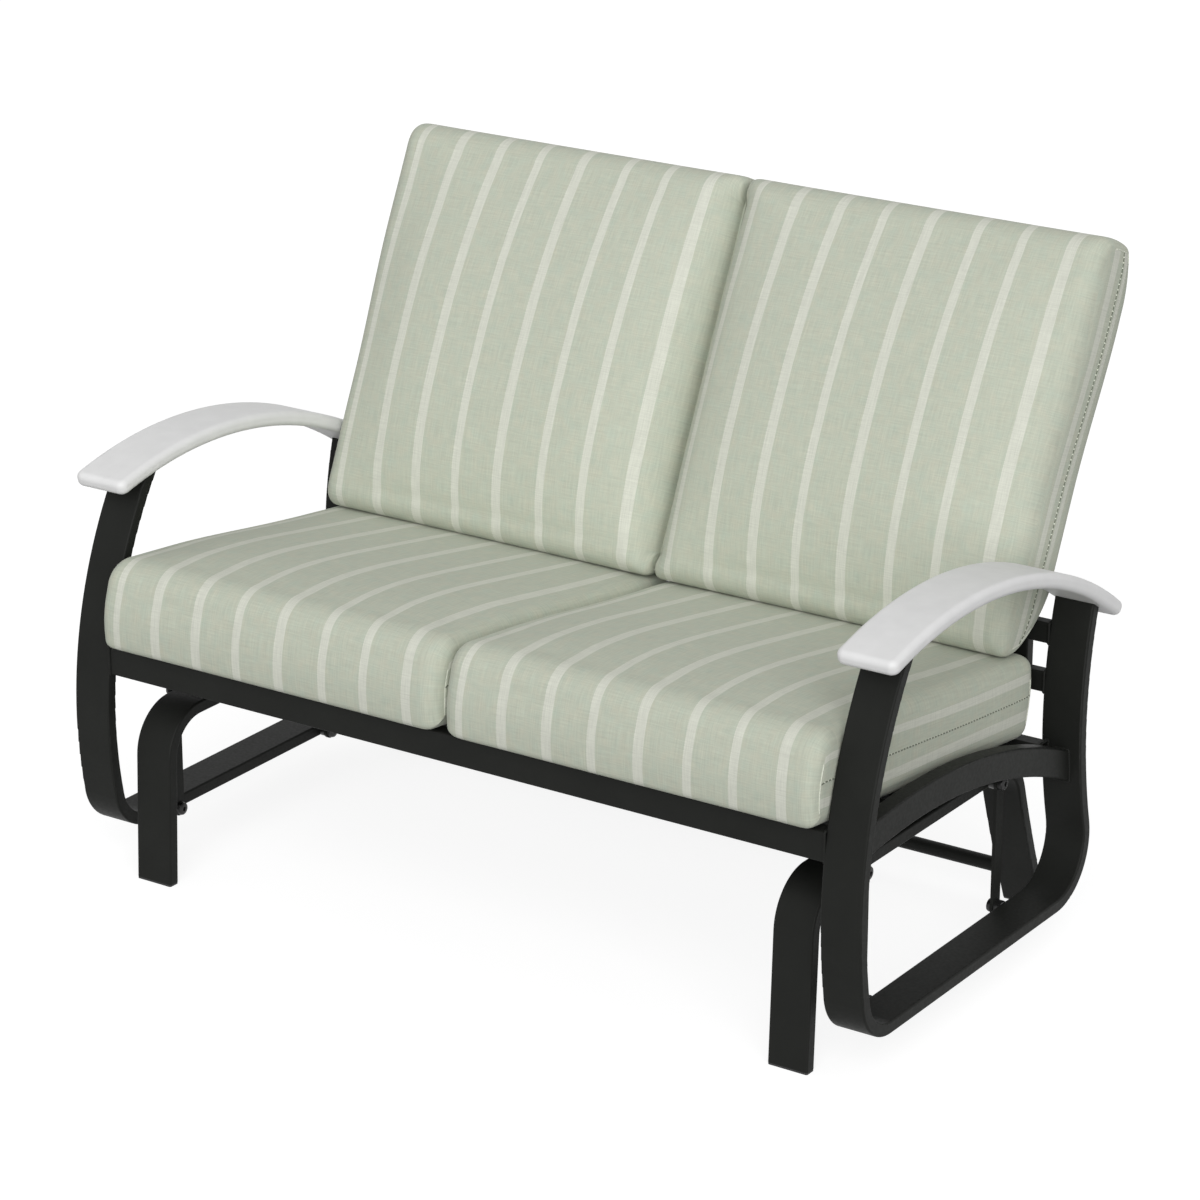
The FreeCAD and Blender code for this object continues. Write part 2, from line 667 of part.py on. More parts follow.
def bushes(side, y):
    """Two flanged bushes in each end of a hanger, pressed in from its two faces."""
    pieces = []
    bore = PIVOT_BOLT_R + PIVOT_RUNNING_GAP
    for z in (RUNNER_Z, BASE_RAIL_Z):
        for sign in (-1, 1):
            face = HANGER_X + sign * HALF_HANGER
            outer = HANGER_X + sign * FLANGE_OUT
            sleeve = disc(side * HANGER_X, side * outer, y, z, bore + BUSH_WALL)
            flange = disc(side * face, side * outer, y, z, BUSH_FLANGE_R)
            through = disc(side * (HANGER_X - sign), side * (outer + sign), y, z, bore)
            pieces.append(sleeve.fuse(flange).removeSplitter().cut(through))
    return pieces


def pivot_set(face, toward, z):
    """Insert, spacer and bolt for the four pivots that screw into one pair of bars.

    face is where the bar's side lies, toward is +1 when the hanger is further out than it.
    """
    inserts = []
    spacers = []
    bolts = []
    seat_x = face + toward * INSERT_FLANGE
    flange_near = HANGER_X - toward * (FLANGE_OUT + SIDE_PLAY)
    flange_far = HANGER_X + toward * (FLANGE_OUT + SIDE_PLAY)
    for side in (-1, 1):
        for y in (PIVOT_FRONT_Y, PIVOT_REAR_Y):
            body = disc(side * face, side * (face - toward * INSERT_LENGTH), y, z, INSERT_R)
            flange = disc(side * face, side * seat_x, y, z, INSERT_FLANGE_R)
            bore = disc(side * (seat_x + toward), side * (face - toward * 2 * INSERT_LENGTH),
                        y, z, PIVOT_THREAD_R + THREAD_GAP)
            inserts.append(body.fuse(flange).removeSplitter().cut(bore))
            ring = disc(side * seat_x, side * flange_near, y, z, BUSH_FLANGE_R)
            hole = disc(side * (seat_x - toward), side * (flange_near + toward), y, z,
                        PIVOT_BOLT_R + THREAD_GAP)
            spacers.append(ring.cut(hole))
            shank = disc(side * seat_x, side * flange_far, y, z, PIVOT_BOLT_R)
            thread = disc(side * (face - toward * INSERT_LENGTH), side * seat_x, y, z,
                          PIVOT_THREAD_R)
            head_end = flange_far + toward * PIVOT_HEAD
            head = disc(side * flange_far, side * head_end, y, z, PIVOT_HEAD_R)
            bolts.append(shank.fuse([thread, head]).removeSplitter())
    return inserts, spacers, bolts


# Each row: distance in from the cushion's side, how far its outline draws in, its share of
# the crown
CUSHION_STATIONS = [
    (0.0, 11.0, 0.08),
    (4.0, 5.5, 0.17),
    (14.0, 1.5, 0.25),
    (45.0, 0.0, 0.5),
    (130.0, 0.0, 0.83),
]


def through(first, middle, last):
    return Part.Arc(first, middle, last).toShape()


def corner_middle(start, end, bulge):
    """Middle point of a corner arc that bulges out from the chord between its two ends."""
    chord = end - start
    return (start + end) * 0.5 + V(0, chord.z, -chord.y).normalize() * bulge


def cushion_outline(x, draw, crown, length, thick, near_round, far_round, foot, heel, slant,
                    bow):
    """Side outline of a cushion, flat underneath and crowned on top.

    foot and heel hold the run along the length, the rise through the thickness and the bulge
    of the near and the far lower corner. slant is how far the near face falls back from its
    top to its foot.
    """
    run, rise, foot_bulge = foot
    heel_run, heel_rise, heel_bulge = heel
    low = draw / 2
    high = thick - draw
    near = draw
    near_low = draw + slant
    far = length - draw
    far_mid = V(x, far + bow, (low + heel_rise + high - far_round) / 2)
    near_mid = V(x, (near + near_low) / 2 - bow, (low + rise + high - near_round) / 2)
    foot_start = V(x, near_low, low + rise)
    foot_end = V(x, near_low + run, low)
    heel_start = V(x, far - heel_run, low)
    heel_end = V(x, far, low + heel_rise)
    far_top = V(x, far, high - far_round)
    far_crown = V(x, far - far_round, high)
    near_crown = V(x, near + near_round, high)
    near_top = V(x, near, high - near_round)
    top_mid = V(x, length / 2, high + crown)
    far_turn = polar(V(x, far - far_round, high - far_round), far_round, 45)
    near_turn = polar(V(x, near + near_round, high - near_round), near_round, 135)
    return Part.Wire([
        line(foot_end, heel_start),
        through(heel_start, corner_middle(heel_start, heel_end, heel_bulge), heel_end),
        through(heel_end, far_mid, far_top),
        through(far_top, far_turn, far_crown),
        through(far_crown, top_mid, near_crown),
        through(near_crown, near_turn, near_top),
        through(near_top, near_mid, foot_start),
        through(foot_start, corner_middle(foot_start, foot_end, foot_bulge), foot_end),
    ])


def cushion(width, crown, *outline):
    """Crowned block with drawn-in sides, its near underneath edge along X at the origin."""
    half = width / 2
    left = [(-half + inset, draw, crown * share) for inset, draw, share in CUSHION_STATIONS]
    right = [(-x, draw, rise) for x, draw, rise in reversed(left)]
    stations = left + [(0.0, 0.0, crown)] + right
    return Part.makeLoft([cushion_outline(*station, *outline) for station in stations],
                         True, True)


def seat_cushion(side):
    pad = cushion(SEAT_CUSHION_WIDTH, SEAT_CROWN, SEAT_CUSHION_DEPTH, SEAT_CUSHION_THICK,
                  SEAT_FRONT_ROUND, SEAT_REAR_ROUND, SEAT_FOOT, SEAT_HEEL, SEAT_SLANT, SEAT_BOW)
    pad.rotate(V(0, 0, 0), X_AXIS, -DECK_DROP_ANGLE)
    x = (CUSHION_SPLIT + SEAT_CUSHION_WIDTH) / 2
    y = SEAT_CUSHION_FRONT_Y - pad.BoundBox.YMin
    return moved(pad, side * x, y, deck_z(y) + DECK_GAP)


def back_cushion(side):
    """Leans on the back frame and stands just above the seat cushion."""
    pad = cushion(BACK_CUSHION_WIDTH, BACK_CROWN, BACK_CUSHION_HEIGHT, BACK_CUSHION_THICK,
                  BACK_LOW_ROUND, BACK_TOP_ROUND, BACK_FOOT, BACK_HEEL, BACK_SLANT, BACK_BOW)
    pad.rotate(V(0, 0, 0), X_AXIS, 90 - RECLINE)
    x = (CUSHION_SPLIT + BACK_CUSHION_WIDTH) / 2
    front = back_point(0, -BACK_STILE_DEPTH / 2 - CUSHION_GAP)
    toe = front - BACK_OUT * (BACK_CUSHION_THICK - BACK_LOW_ROUND)
    seat_top = deck_z(toe.y) + DECK_GAP + SEAT_CUSHION_THICK + BACK_CUSHION_LIFT
    slide = (seat_top - toe.z) / (BACK_UP.z + DECK_SLOPE * BACK_UP.y)
    foot = front + BACK_UP * slide
    return moved(pad, side * x, foot.y, foot.z)


def build():
    os.makedirs("parts", exist_ok=True)
    for side, word in ((-1, "left"), (1, "right")):
        export("base_frame_" + word, [base_frame(side)])
        export("side_frame_" + word, [side_frame(side)])
        export("arm_" + word, [arm(side)])
        export("seat_side_rail_" + word, [seat_side_rail(side)])
        export("back_stile_" + word, [back_stile(side * BACK_STILE_X)])
        export("seat_cushion_" + word, [seat_cushion(side)])
        export("back_cushion_" + word, [back_cushion(side)])
        for y, place in ((PIVOT_FRONT_Y, "front_"), (PIVOT_REAR_Y, "rear_")):
            export("hanger_" + place + word, [hanger(side, y)])
            export("bushes_" + place + word, bushes(side, y))
    export("back_stile_centre", [back_stile(0)])
    export("rear_stretcher", [rear_stretcher()])
    export("upper_stretcher", [upper_stretcher()])
    export("foot_glides", foot_glides())
    export("front_rail", [front_rail()])
    export("rear_seat_rail", [rear_seat_rail()])
    export("seat_spine", [seat_spine()])
    export("seat_slats", seat_slats())
    export("back_lower_rail", [back_rail(BACK_LOWER_RAIL_Z)])
    export("back_upper_rail", [back_rail(BACK_UPPER_RAIL_Z)])
    export("back_top_rail", [back_top_rail()])
    export("back_slats", back_slats())
    export("post_end_plates", end_plates())
    export("arm_screws", arm_screws())
    upper = pivot_set(BASE_OUTSIDE, 1, BASE_RAIL_Z)
    lower = pivot_set(SEAT_INSIDE, -1, RUNNER_Z)
    for level, pieces in (("upper", upper), ("lower", lower)):
        for kind, solids in zip(("inserts", "spacers", "bolts"), pieces):
            export(level + "_pivot_" + kind, solids)


build()
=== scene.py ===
"""Two-seat glider bench: the looks of the bench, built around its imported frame."""

import json
import math
from dataclasses import dataclass

import bpy
import numpy as np
from bpy.props import FloatProperty, FloatVectorProperty, PointerProperty
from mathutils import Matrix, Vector
from mathutils.geometry import convex_hull_2d


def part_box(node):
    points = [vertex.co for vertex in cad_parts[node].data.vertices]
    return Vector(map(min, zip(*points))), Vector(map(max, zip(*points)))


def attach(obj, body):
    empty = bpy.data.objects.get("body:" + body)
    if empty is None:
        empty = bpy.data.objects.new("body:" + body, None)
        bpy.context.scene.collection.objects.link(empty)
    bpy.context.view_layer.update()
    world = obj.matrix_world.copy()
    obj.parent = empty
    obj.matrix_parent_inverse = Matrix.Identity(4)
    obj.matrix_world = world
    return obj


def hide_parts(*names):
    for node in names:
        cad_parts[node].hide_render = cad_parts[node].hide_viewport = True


bl_info = {
    "name": "Glider bench",
    "version": (1, 0, 0),
    "blender": (4, 5, 0),
    "location": "View3D > Sidebar > Bench",
    "description": "Cushions, hardware, finishes and studio for a two-seat glider bench",
    "category": "Object",
}

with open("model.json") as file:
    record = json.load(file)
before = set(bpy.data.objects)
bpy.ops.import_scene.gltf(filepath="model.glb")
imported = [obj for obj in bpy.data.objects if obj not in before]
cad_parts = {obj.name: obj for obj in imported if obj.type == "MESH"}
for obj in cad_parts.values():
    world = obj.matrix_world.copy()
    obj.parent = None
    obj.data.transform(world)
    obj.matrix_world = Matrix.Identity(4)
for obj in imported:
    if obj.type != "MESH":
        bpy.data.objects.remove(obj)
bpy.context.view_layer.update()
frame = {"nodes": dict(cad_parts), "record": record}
MM = 0.001


# Small helpers for nodes, colours and meshes


def linear(code):
    """Linear colour of an sRGB hex code such as 8FA37C."""
    values = [int(code[i:i + 2], 16) / 255 for i in (0, 2, 4)]
    return tuple(v / 12.92 if v <= 0.04045 else ((v + 0.055) / 1.055) ** 2.4 for v in values)


def rgba(colour):
    return (*colour[:3], 1.0)


def add(tree, kind, links=None, **settings):
    """Add a node. settings are its own properties, links its inputs as values or sockets."""
    node = tree.nodes.new(kind)
    for name, value in settings.items():
        setattr(node, name, value)
    for name, value in (links or {}).items():
        if isinstance(value, bpy.types.NodeSocket):
            tree.links.new(value, node.inputs[name])
        else:
            node.inputs[name].default_value = value
    return node


def flow(tree, kind, links=None, **settings):
    """First output of a new node."""
    return add(tree, kind, links, **settings).outputs[0]


def maths(tree, operation, *values):
    """Result of an operation on values or sockets."""
    return flow(tree, "ShaderNodeMath", dict(enumerate(values)), operation=operation)


def scaled(tree, vector, scale):
    return flow(tree, "ShaderNodeVectorMath", {0: vector, "Scale": scale}, operation="SCALE")


def cleared_tree(owner):
    """Emptied node tree of a material or a world."""
    owner.use_nodes = True
    owner.node_tree.nodes.clear()
    return owner.node_tree


def linked(name, data):
    """New object with this data, linked to the scene."""
    piece = bpy.data.objects.new(name, data)
    bpy.context.scene.collection.objects.link(piece)
    return piece


def mesh_object(name, vertices, faces=(), edges=()):
    mesh = bpy.data.meshes.new(name)
    mesh.from_pydata([tuple(v) for v in vertices], list(edges), list(faces))
    mesh.update()
    return linked(name, mesh)


def polyline_object(name, lines):
    vertices, edges = [], []
    for line in lines:
        first = len(vertices)
        vertices.extend(line)
        edges.extend((first + i, first + i + 1) for i in range(len(line) - 1))
    return mesh_object(name, vertices, edges=edges)


def plain_mesh(piece):
    """Mesh of an object with its modifiers worked in."""
    graph = bpy.context.evaluated_depsgraph_get()
    return bpy.data.meshes.new_from_object(piece.evaluated_get(graph), depsgraph=graph)


def set_input(modifier, name, value):
    """Set a geometry-nodes input by its name, through the socket's identifier."""
    for item in modifier.node_group.interface.items_tree:
        if item.item_type == "SOCKET" and item.in_out == "INPUT" and item.name == name:
            modifier[item.identifier] = value
            return
    raise RuntimeError(f"{modifier.node_group.name} has no input named {name}")


def grown(name, source, tree, inputs):
    """Plain mesh object that a geometry-nodes tree grows from a source object."""
    modifier = source.modifiers.new("grow", "NODES")
    modifier.node_group = tree
    for key, value in inputs.items():
        set_input(modifier, key, value)
    mesh = plain_mesh(source)
    mesh.name = name
    source.modifiers.remove(modifier)
    bpy.data.objects.remove(source)
    return linked(name, mesh)


def geometry_tree(name, *sizes, objects=()):
    """New geometry-nodes group that takes a geometry, sizes, objects and a material."""
    tree = bpy.data.node_groups.new(name, "GeometryNodeTree")
    kinds = {"Geometry": "Geometry", **dict.fromkeys(sizes, "Float"),
             **dict.fromkeys(objects, "Object"), "Material": "Material"}
    for key, kind in kinds.items():
        tree.interface.new_socket(key, in_out="INPUT", socket_type="NodeSocket" + kind)
    tree.interface.new_socket("Geometry", in_out="OUTPUT", socket_type="NodeSocketGeometry")
    return tree, add(tree, "NodeGroupInput").outputs


def finish_tree(tree, given, geometry, crease=180):
    """End a tree in real geometry with its material set, smooth up to a crease in degrees."""
    real = flow(tree, "GeometryNodeRealizeInstances", {"Geometry": geometry})
    edge = add(tree, "GeometryNodeInputMeshEdgeAngle").outputs["Unsigned Angle"]
    round_edge = flow(tree, "FunctionNodeCompare", {0: edge, 1: math.radians(crease)},
                      operation="LESS_EQUAL")
    kept = flow(tree, "GeometryNodeSetShadeSmooth",
                {"Geometry": real, "Shade Smooth": round_edge}, domain="EDGE")
    smooth = flow(tree, "GeometryNodeSetShadeSmooth", {"Geometry": kept})
    painted = flow(tree, "GeometryNodeSetMaterial",
                   {"Geometry": smooth, "Material": given["Material"]})
    add(tree, "NodeGroupOutput", {"Geometry": painted})


def even_curve(tree, mesh, step):
    """The edges of a mesh as curves whose points lie a step apart."""
    curve = flow(tree, "GeometryNodeMeshToCurve", {"Mesh": mesh})
    return flow(tree, "GeometryNodeResampleCurve", {"Curve": curve, "Length": step},
                mode="LENGTH")


def tube(tree, curve, corners, radius, capped):
    """A tube with so many corners round it along a curve."""
    ring = flow(tree, "GeometryNodeCurvePrimitiveCircle", {"Resolution": corners,
                                                           "Radius": 1.0})
    return flow(tree, "GeometryNodeCurveToMesh", {"Curve": curve, "Profile Curve": ring,
                                                  "Scale": radius, "Fill Caps": capped})


# Sizes and colours that a user would change


def metres(name, description, default, least=0.0):
    return FloatProperty(name=name, description=description, default=default, min=least,
                         unit="LENGTH")


def degrees(name, description, default):
    return FloatProperty(name=name, description=description,
                         default=math.radians(default), subtype="ANGLE")


def amount(name, description, default, least=0.0):
    return FloatProperty(name=name, description=description, default=default, min=least)


def tint(name, description, code):
    return FloatVectorProperty(name=name, description=description, subtype="COLOR",
                               size=3, min=0, max=1, default=linear(code))


class CushionSizes(bpy.types.PropertyGroup):
    thickness: metres("Thickness", "Cushion thickness at its sides", 0.134, 0.05)
    length: metres("Length", "Cushion length, front to back or foot to top", 0.604, 0.2)
    crown: metres("Crown", "How far the middle stands above the sides", 0.012)
    crown_peak: FloatProperty(
        name="Crown peak", description="Where the crown is highest, as a share of the length",
        default=0.5, min=0.2, max=0.8, subtype="FACTOR")
    side_round: metres("Side rounding", "Rounding where the top rolls over the outer side",
                       0.020, 0.004)
    inner_round: metres("Inner rounding", "The same where the two cushions meet",
                        0.020, 0.004)
    corner_round: metres("Corner rounding", "Rounding of the outer upright corners",
                         0.018, 0.004)
    inner_corner: metres("Inner corner", "The same where the two cushions meet",
                         0.026, 0.004)
    side_puff: metres("Side puff", "How far the sides swell between the seams", 0.004)
    cell: metres("Cell", "Size of the cover's mesh cells before it is subdivided",
                 0.0085, 0.004)
    pressure: amount("Filling pressure", "Pressure of the filling on the cover", 4.0)
    swell: metres("Most swell", "The furthest that the filling may push the cover", 0.006)


class SewingSizes(bpy.types.PropertyGroup):
    welt: metres("Seam thickness", "Radius of the turned seam edge", 0.0011, 0.0003)
    stitch_pitch: metres("Stitch pitch", "Distance from stitch to stitch", 0.0078, 0.002)
    stitch_length: metres("Stitch length", "Length of one stitch", 0.0036, 0.001)
    stitch_width: metres("Stitch width", "Width of the pale tick at a stitch",
                         0.0031, 0.0002)


class Finishes(bpy.types.PropertyGroup):
    sage: tint("Sage yarn", "Main yarn of the cushion cloth", "B6BFB0")
    beige: tint("Beige yarn", "Warmer yarn mixed into the cushion cloth", "BFC0AF")
    stripe: tint("Stripe yarn", "Off-white yarn of the stripes", "CED0C4")
    coat: tint("Powder coat", "Charcoal coat of the metal frame", "1E1F1D")
    board: tint("Arm board", "Light grey polymer of the arms", "E2E2E2")


class Hardware(bpy.types.PropertyGroup):
    weld_radius: metres("Weld radius", "Half the width of a weld bead", 0.0022, 0.0005)
    weld_ripple: metres("Weld ripple", "Distance from ripple to ripple along a weld",
                        0.0030, 0.001)
    head_radius: metres("Bolt head radius", "Radius of a pivot bolt's domed head",
                        0.0100, 0.006)
    head_height: metres("Bolt head height", "Height of a pivot bolt's domed head",
                        0.0060, 0.003)
    socket: metres("Socket size", "Radius across the corners of the bolt's socket",
                   0.0036, 0.001)


class Studio(bpy.types.PropertyGroup):
    azimuth: degrees("Azimuth", "Camera's turn round the bench from straight in front",
                     33.97)
    elevation: degrees("Elevation", "Camera's height angle above the horizon", 20.34)
    distance: metres("Distance", "Camera's distance from the point that it looks at",
                     7.19761, 1)
    lens: amount("Lens", "Focal length in millimetres on a 36 mm wide frame", 127.65, 10)
    key: amount("Key light", "Strength of the large soft light in front of the bench", 2.38)
    key_azimuth: degrees("Key azimuth", "Key light's turn round the bench", 33)
    key_elevation: degrees("Key elevation", "Key light's height angle", 24)
    key_spread: degrees("Key spread", "How wide the key light is, seen from the bench", 60)
    sky: amount("Sky", "Strength of the even light from all round", 0.45)


class Bench(bpy.types.PropertyGroup):
    seat: PointerProperty(type=CushionSizes)
    back: PointerProperty(type=CushionSizes)
    sewing: PointerProperty(type=SewingSizes)
    finishes: PointerProperty(type=Finishes)
    hardware: PointerProperty(type=Hardware)
    studio: PointerProperty(type=Studio)


# Materials


def new_material(name, **constants):
    """Material with one Principled shader whose even values sit on the shader itself."""
    material = bpy.data.materials.new(name)
    tree = cleared_tree(material)
    shader = add(tree, "ShaderNodeBsdfPrincipled",
                 {key.replace("_", " "): value for key, value in constants.items()})
    add(tree, "ShaderNodeOutputMaterial", {"Surface": shader.outputs["BSDF"]})
    return material, tree, shader


def object_place(tree):
    """Place on an object in its own metres."""
    return add(tree, "ShaderNodeTexCoord").outputs["Object"]


def stretched(tree, place, sizes, shift=0.0):
    """A place measured in its own unit along each axis, so that noise on it takes those sizes."""
    return flow(tree, "ShaderNodeMapping", {
        "Vector": place, "Location": (shift, shift, 0),
        "Scale": tuple(1 / size for size in sizes)})


def noise(tree, place, size, detail, roughness=0.5):
    """Noise around a half, with lumps about size metres wide."""
    return flow(tree, "ShaderNodeTexNoise", {"Vector": place, "Scale": 1 / size,
                                             "Detail": detail, "Roughness": roughness})


def ranged(tree, value, low, high, start=0.0, end=1.0):
    """A value that runs from start to end, made to run from low to high."""
    return flow(tree, "ShaderNodeMapRange", {"Value": value, "From Min": start,
                                             "From Max": end, "To Min": low,
                                             "To Max": high})


def surface(tree, shader, colour, tone, rough, height=None, strength=1.0, depth=MM):
    """Give a shader its colour times a tone, its roughness and the bump of a height."""
    links = {"Base Color": scaled(tree, colour, tone), "Roughness": rough}
    if height is not None:
        links["Normal"] = flow(tree, "ShaderNodeBump", {
            "Height": height, "Strength": strength, "Distance": depth})
    for name, socket in links.items():
        tree.links.new(socket, shader.inputs[name])


def powder_coat(colour):
    """Powder-coated steel tube: sprayed dry and baked, so satin with a fine orange peel.

    The peel's bumps are under a millimetre wide on the real coat and are drawn at 2 mm, wide
    enough to show. Dust and handling leave the sheen slightly uneven.
    """
    material, tree, shader = new_material("powder_coated_steel", IOR=1.5,
                                          Specular_IOR_Level=0.1)
    place = object_place(tree)
    peel = noise(tree, place, 2 * MM, 2.0)
    cloud = noise(tree, place, 90 * MM, 4.0, 0.6)
    speck = noise(tree, place, 5 * MM, 3.0)
    tone = ranged(tree, cloud, 0.88, 1.14, 0.3, 0.7)
    rough = ranged(tree, speck, 0.46, 0.56, 0.3, 0.7)
    surface(tree, shader, colour[:3], tone, rough, peel, 0.12, 0.3 * MM)
    return material


def arm_polymer(colour):
    """Moulded polyethylene board: matt skin with a shallow brushed grain along the arm."""
    material, tree, shader = new_material("moulded_polyethylene_board", IOR=1.5)
    place = object_place(tree)
    along = stretched(tree, place, (1.6 * MM, 45 * MM, 8 * MM))
    grain = noise(tree, along, 1.0, 3.0)
    mottle = noise(tree, place, 30 * MM, 3.0)
    tone = ranged(tree, mottle, 0.97, 1.02, 0.3, 0.7)
    rough = ranged(tree, grain, 0.42, 0.56)
    surface(tree, shader, colour[:3], tone, rough, grain, 0.15, 0.25 * MM)
    return material


def moulded_plastic(name, code, roughness):
    """Moulded black nylon or acetal: even, with the faint spark-eroded texture of its mould."""
    material, tree, shader = new_material(name, IOR=1.5)
    grain = noise(tree, object_place(tree), 1.2 * MM, 2.0)
    tone = ranged(tree, grain, 0.85, 1.2)
    rough = ranged(tree, grain, roughness - 0.06, roughness + 0.06)
    surface(tree, shader, linear(code), tone, rough, grain, 0.2, 0.15 * MM)
    return material


def plated_steel(name, code, roughness):
    """Bolt and insert steel with a thin skin that clouds in small spangles.

    Zinc plating is bright grey. Black oxide is the same metal turned dark.
    """
    material, tree, shader = new_material(name, Metallic=1.0)
    cloud = flow(tree, "ShaderNodeTexVoronoi", {"Vector": object_place(tree),
                                                "Scale": 1 / (3 * MM)})
    surface(tree, shader, linear(code), ranged(tree, cloud, 0.9, 1.1),
            ranged(tree, cloud, roughness - 0.08, roughness + 0.08))
    return material


# The cloth repeats after this width; each stripe is its middle and its width within it, in mm
CLOTH_REPEAT = 0.600
CLOTH_STRIPES = [(0.0, 14), (72.5, 15), (148, 15), (221.5, 15), (297, 17), (377, 14),
                 (449, 15), (525, 16)]
# The repeat starts this far before its first stripe, so that it starts between stripes
CLOTH_LEAD = CLOTH_REPEAT / 16


def stripe_factor(tree, across):
    """1 on a stripe and 0 between stripes, from the place across the cloth."""
    shifted = maths(tree, "ADD", across, CLOTH_LEAD)
    within = maths(tree, "FRACT", maths(tree, "DIVIDE", shifted, CLOTH_REPEAT))
    ramp = add(tree, "ShaderNodeValToRGB", {"Fac": within})
    ramp.color_ramp.interpolation = "CONSTANT"
    stops = ramp.color_ramp.elements
    stops.remove(stops[1])
    stops[0].color = (0, 0, 0, 1)
    for middle, width in CLOTH_STRIPES:
        at = middle + CLOTH_LEAD / MM
        for place, value in ((at - width / 2, 1), (at + width / 2, 0)):
            stop = stops.new(place * MM / CLOTH_REPEAT)
            stop.color = (value, value, value, 1)
    return ramp.outputs["Color"]


def mixed(tree, factor, first, second):
    """The first colour at a factor of 0, the second at 1."""
    return add(tree, "ShaderNodeMix", {"Factor": factor, 6: first, 7: second},
               data_type="RGBA").outputs[2]


def striped_cloth(finishes):
    """Solution-dyed acrylic, plain woven with slubby yarns and off-white stripes.

    The cover's UV map holds metres across and along the cloth. The real yarns lie 0.6 mm
    apart, too fine to show, so the weave is drawn at 2.4 mm and the slubs at 1.7 mm.
    """
    material, tree, shader = new_material(
        "woven_acrylic_cloth", IOR=1.45, Sheen_Weight=0.12, Sheen_Roughness=0.5,
        Specular_IOR_Level=0.25)
    cloth = add(tree, "ShaderNodeUVMap", uv_map="cover").outputs["UV"]
    parts = add(tree, "ShaderNodeSeparateXYZ", {"Vector": cloth}).outputs
    pitch = 2.4 * MM

    def streaks(wide, long, seed):
        return noise(tree, stretched(tree, cloth, (wide, long, 1.0), seed), 1.0, 3.0, 0.6)

    def wave(axis):
        return maths(tree, "SINE", maths(tree, "MULTIPLY", parts[axis],
                                         2 * math.pi / pitch))

    warp = streaks(1.7 * MM, 42 * MM, 3.1)
    weft = streaks(36 * MM, 1.7 * MM, 7.7)
    patch = streaks(16 * MM, 22 * MM, 1.3)
    weave = maths(tree, "MULTIPLY", wave("X"), wave("Y"))
    # The yarns that cross a stripe make its edges ragged
    ragged = maths(tree, "MULTIPLY_ADD", weft, 1.6 * MM, parts["X"])
    stripe = stripe_factor(tree, ragged)
    ground = mixed(tree, ranged(tree, patch, 0.0, 1.0, 0.25, 0.75), rgba(finishes.sage),
                   rgba(finishes.beige))
    striped = mixed(tree, stripe, ground, rgba(finishes.stripe))
    yarns = maths(tree, "ADD", warp, weft)
    tone = ranged(tree, yarns, 0.88, 1.12, 0.65, 1.35)
    knots = maths(tree, "MULTIPLY_ADD", weave, 0.025, tone)
    height = maths(tree, "MULTIPLY_ADD", weave, 0.35, yarns)
    surface(tree, shader, striped, knots, ranged(tree, warp, 0.82, 0.95), height, 0.35,
            0.35 * MM)
    return material


def seam_thread_painted_light(name, code):
    """Polyester seam thread in two copies: a pale one whose colour is a painted highlight on a
    seam's raised turned edge, and a dark one whose colour is painted shade in a seam's furrow.
    Slightly uneven.
    """
    material, tree, shader = new_material(name, IOR=1.45, Sheen_Weight=0.1)
    twist = noise(tree, object_place(tree), 2.5 * MM, 2.0)
    surface(tree, shader, linear(code), ranged(tree, twist, 0.82, 1.06, 0.3, 0.7),
            ranged(tree, twist, 0.7, 0.9))
    return material


# Covers of the cushions


def bulged(start, end, bulge, count=16):
    """Points of the arc between two points that stands out from their chord by bulge."""
    start, end = np.array(start, float), np.array(end, float)
    half = np.linalg.norm(end - start) / 2
    ahead = (end - start) / (2 * half)
    out = np.array([ahead[1], -ahead[0]])
    radius = (half ** 2 + bulge ** 2) / (2 * bulge)
    centre = (start + end) / 2 + out * (bulge - radius)
    reach = math.asin(half / radius)
    return [centre + radius * (math.sin(a) * ahead + math.cos(a) * out)
            for a in (reach * (2 * i / count - 1) for i in range(count + 1))]


def evenly(points, count):
    """The same line cut into count equal steps."""
    points = np.array(points, float)
    steps = np.linalg.norm(np.diff(points, axis=0), axis=1)
    run = np.concatenate([[0], np.cumsum(steps)])
    wanted = np.linspace(0, run[-1], count + 1)
    return np.stack([np.interp(wanted, run, points[:, k]) for k in (0, 1)], axis=1)


def quarter(radius, count=10):
    """Offsets of a rounded corner's points: along the first side, along the second side."""
    return [(radius * math.sin(a), radius * (1 - math.cos(a)))
            for a in (math.pi / 2 * i / count for i in range(count + 1))]


def gentle(share):
    """A share from 0 to 1 with a soft start and a soft end."""
    return share * share * (3 - 2 * share)


def softly_below(value, most):
    """A value that nears most but never passes it."""
    return most * (1 - np.exp(-value / most))


# Shape of the crown: the first flattens its run along the cushion, the second across it
CROWN_ALONG = 1.35
CROWN_ACROSS = 3.6


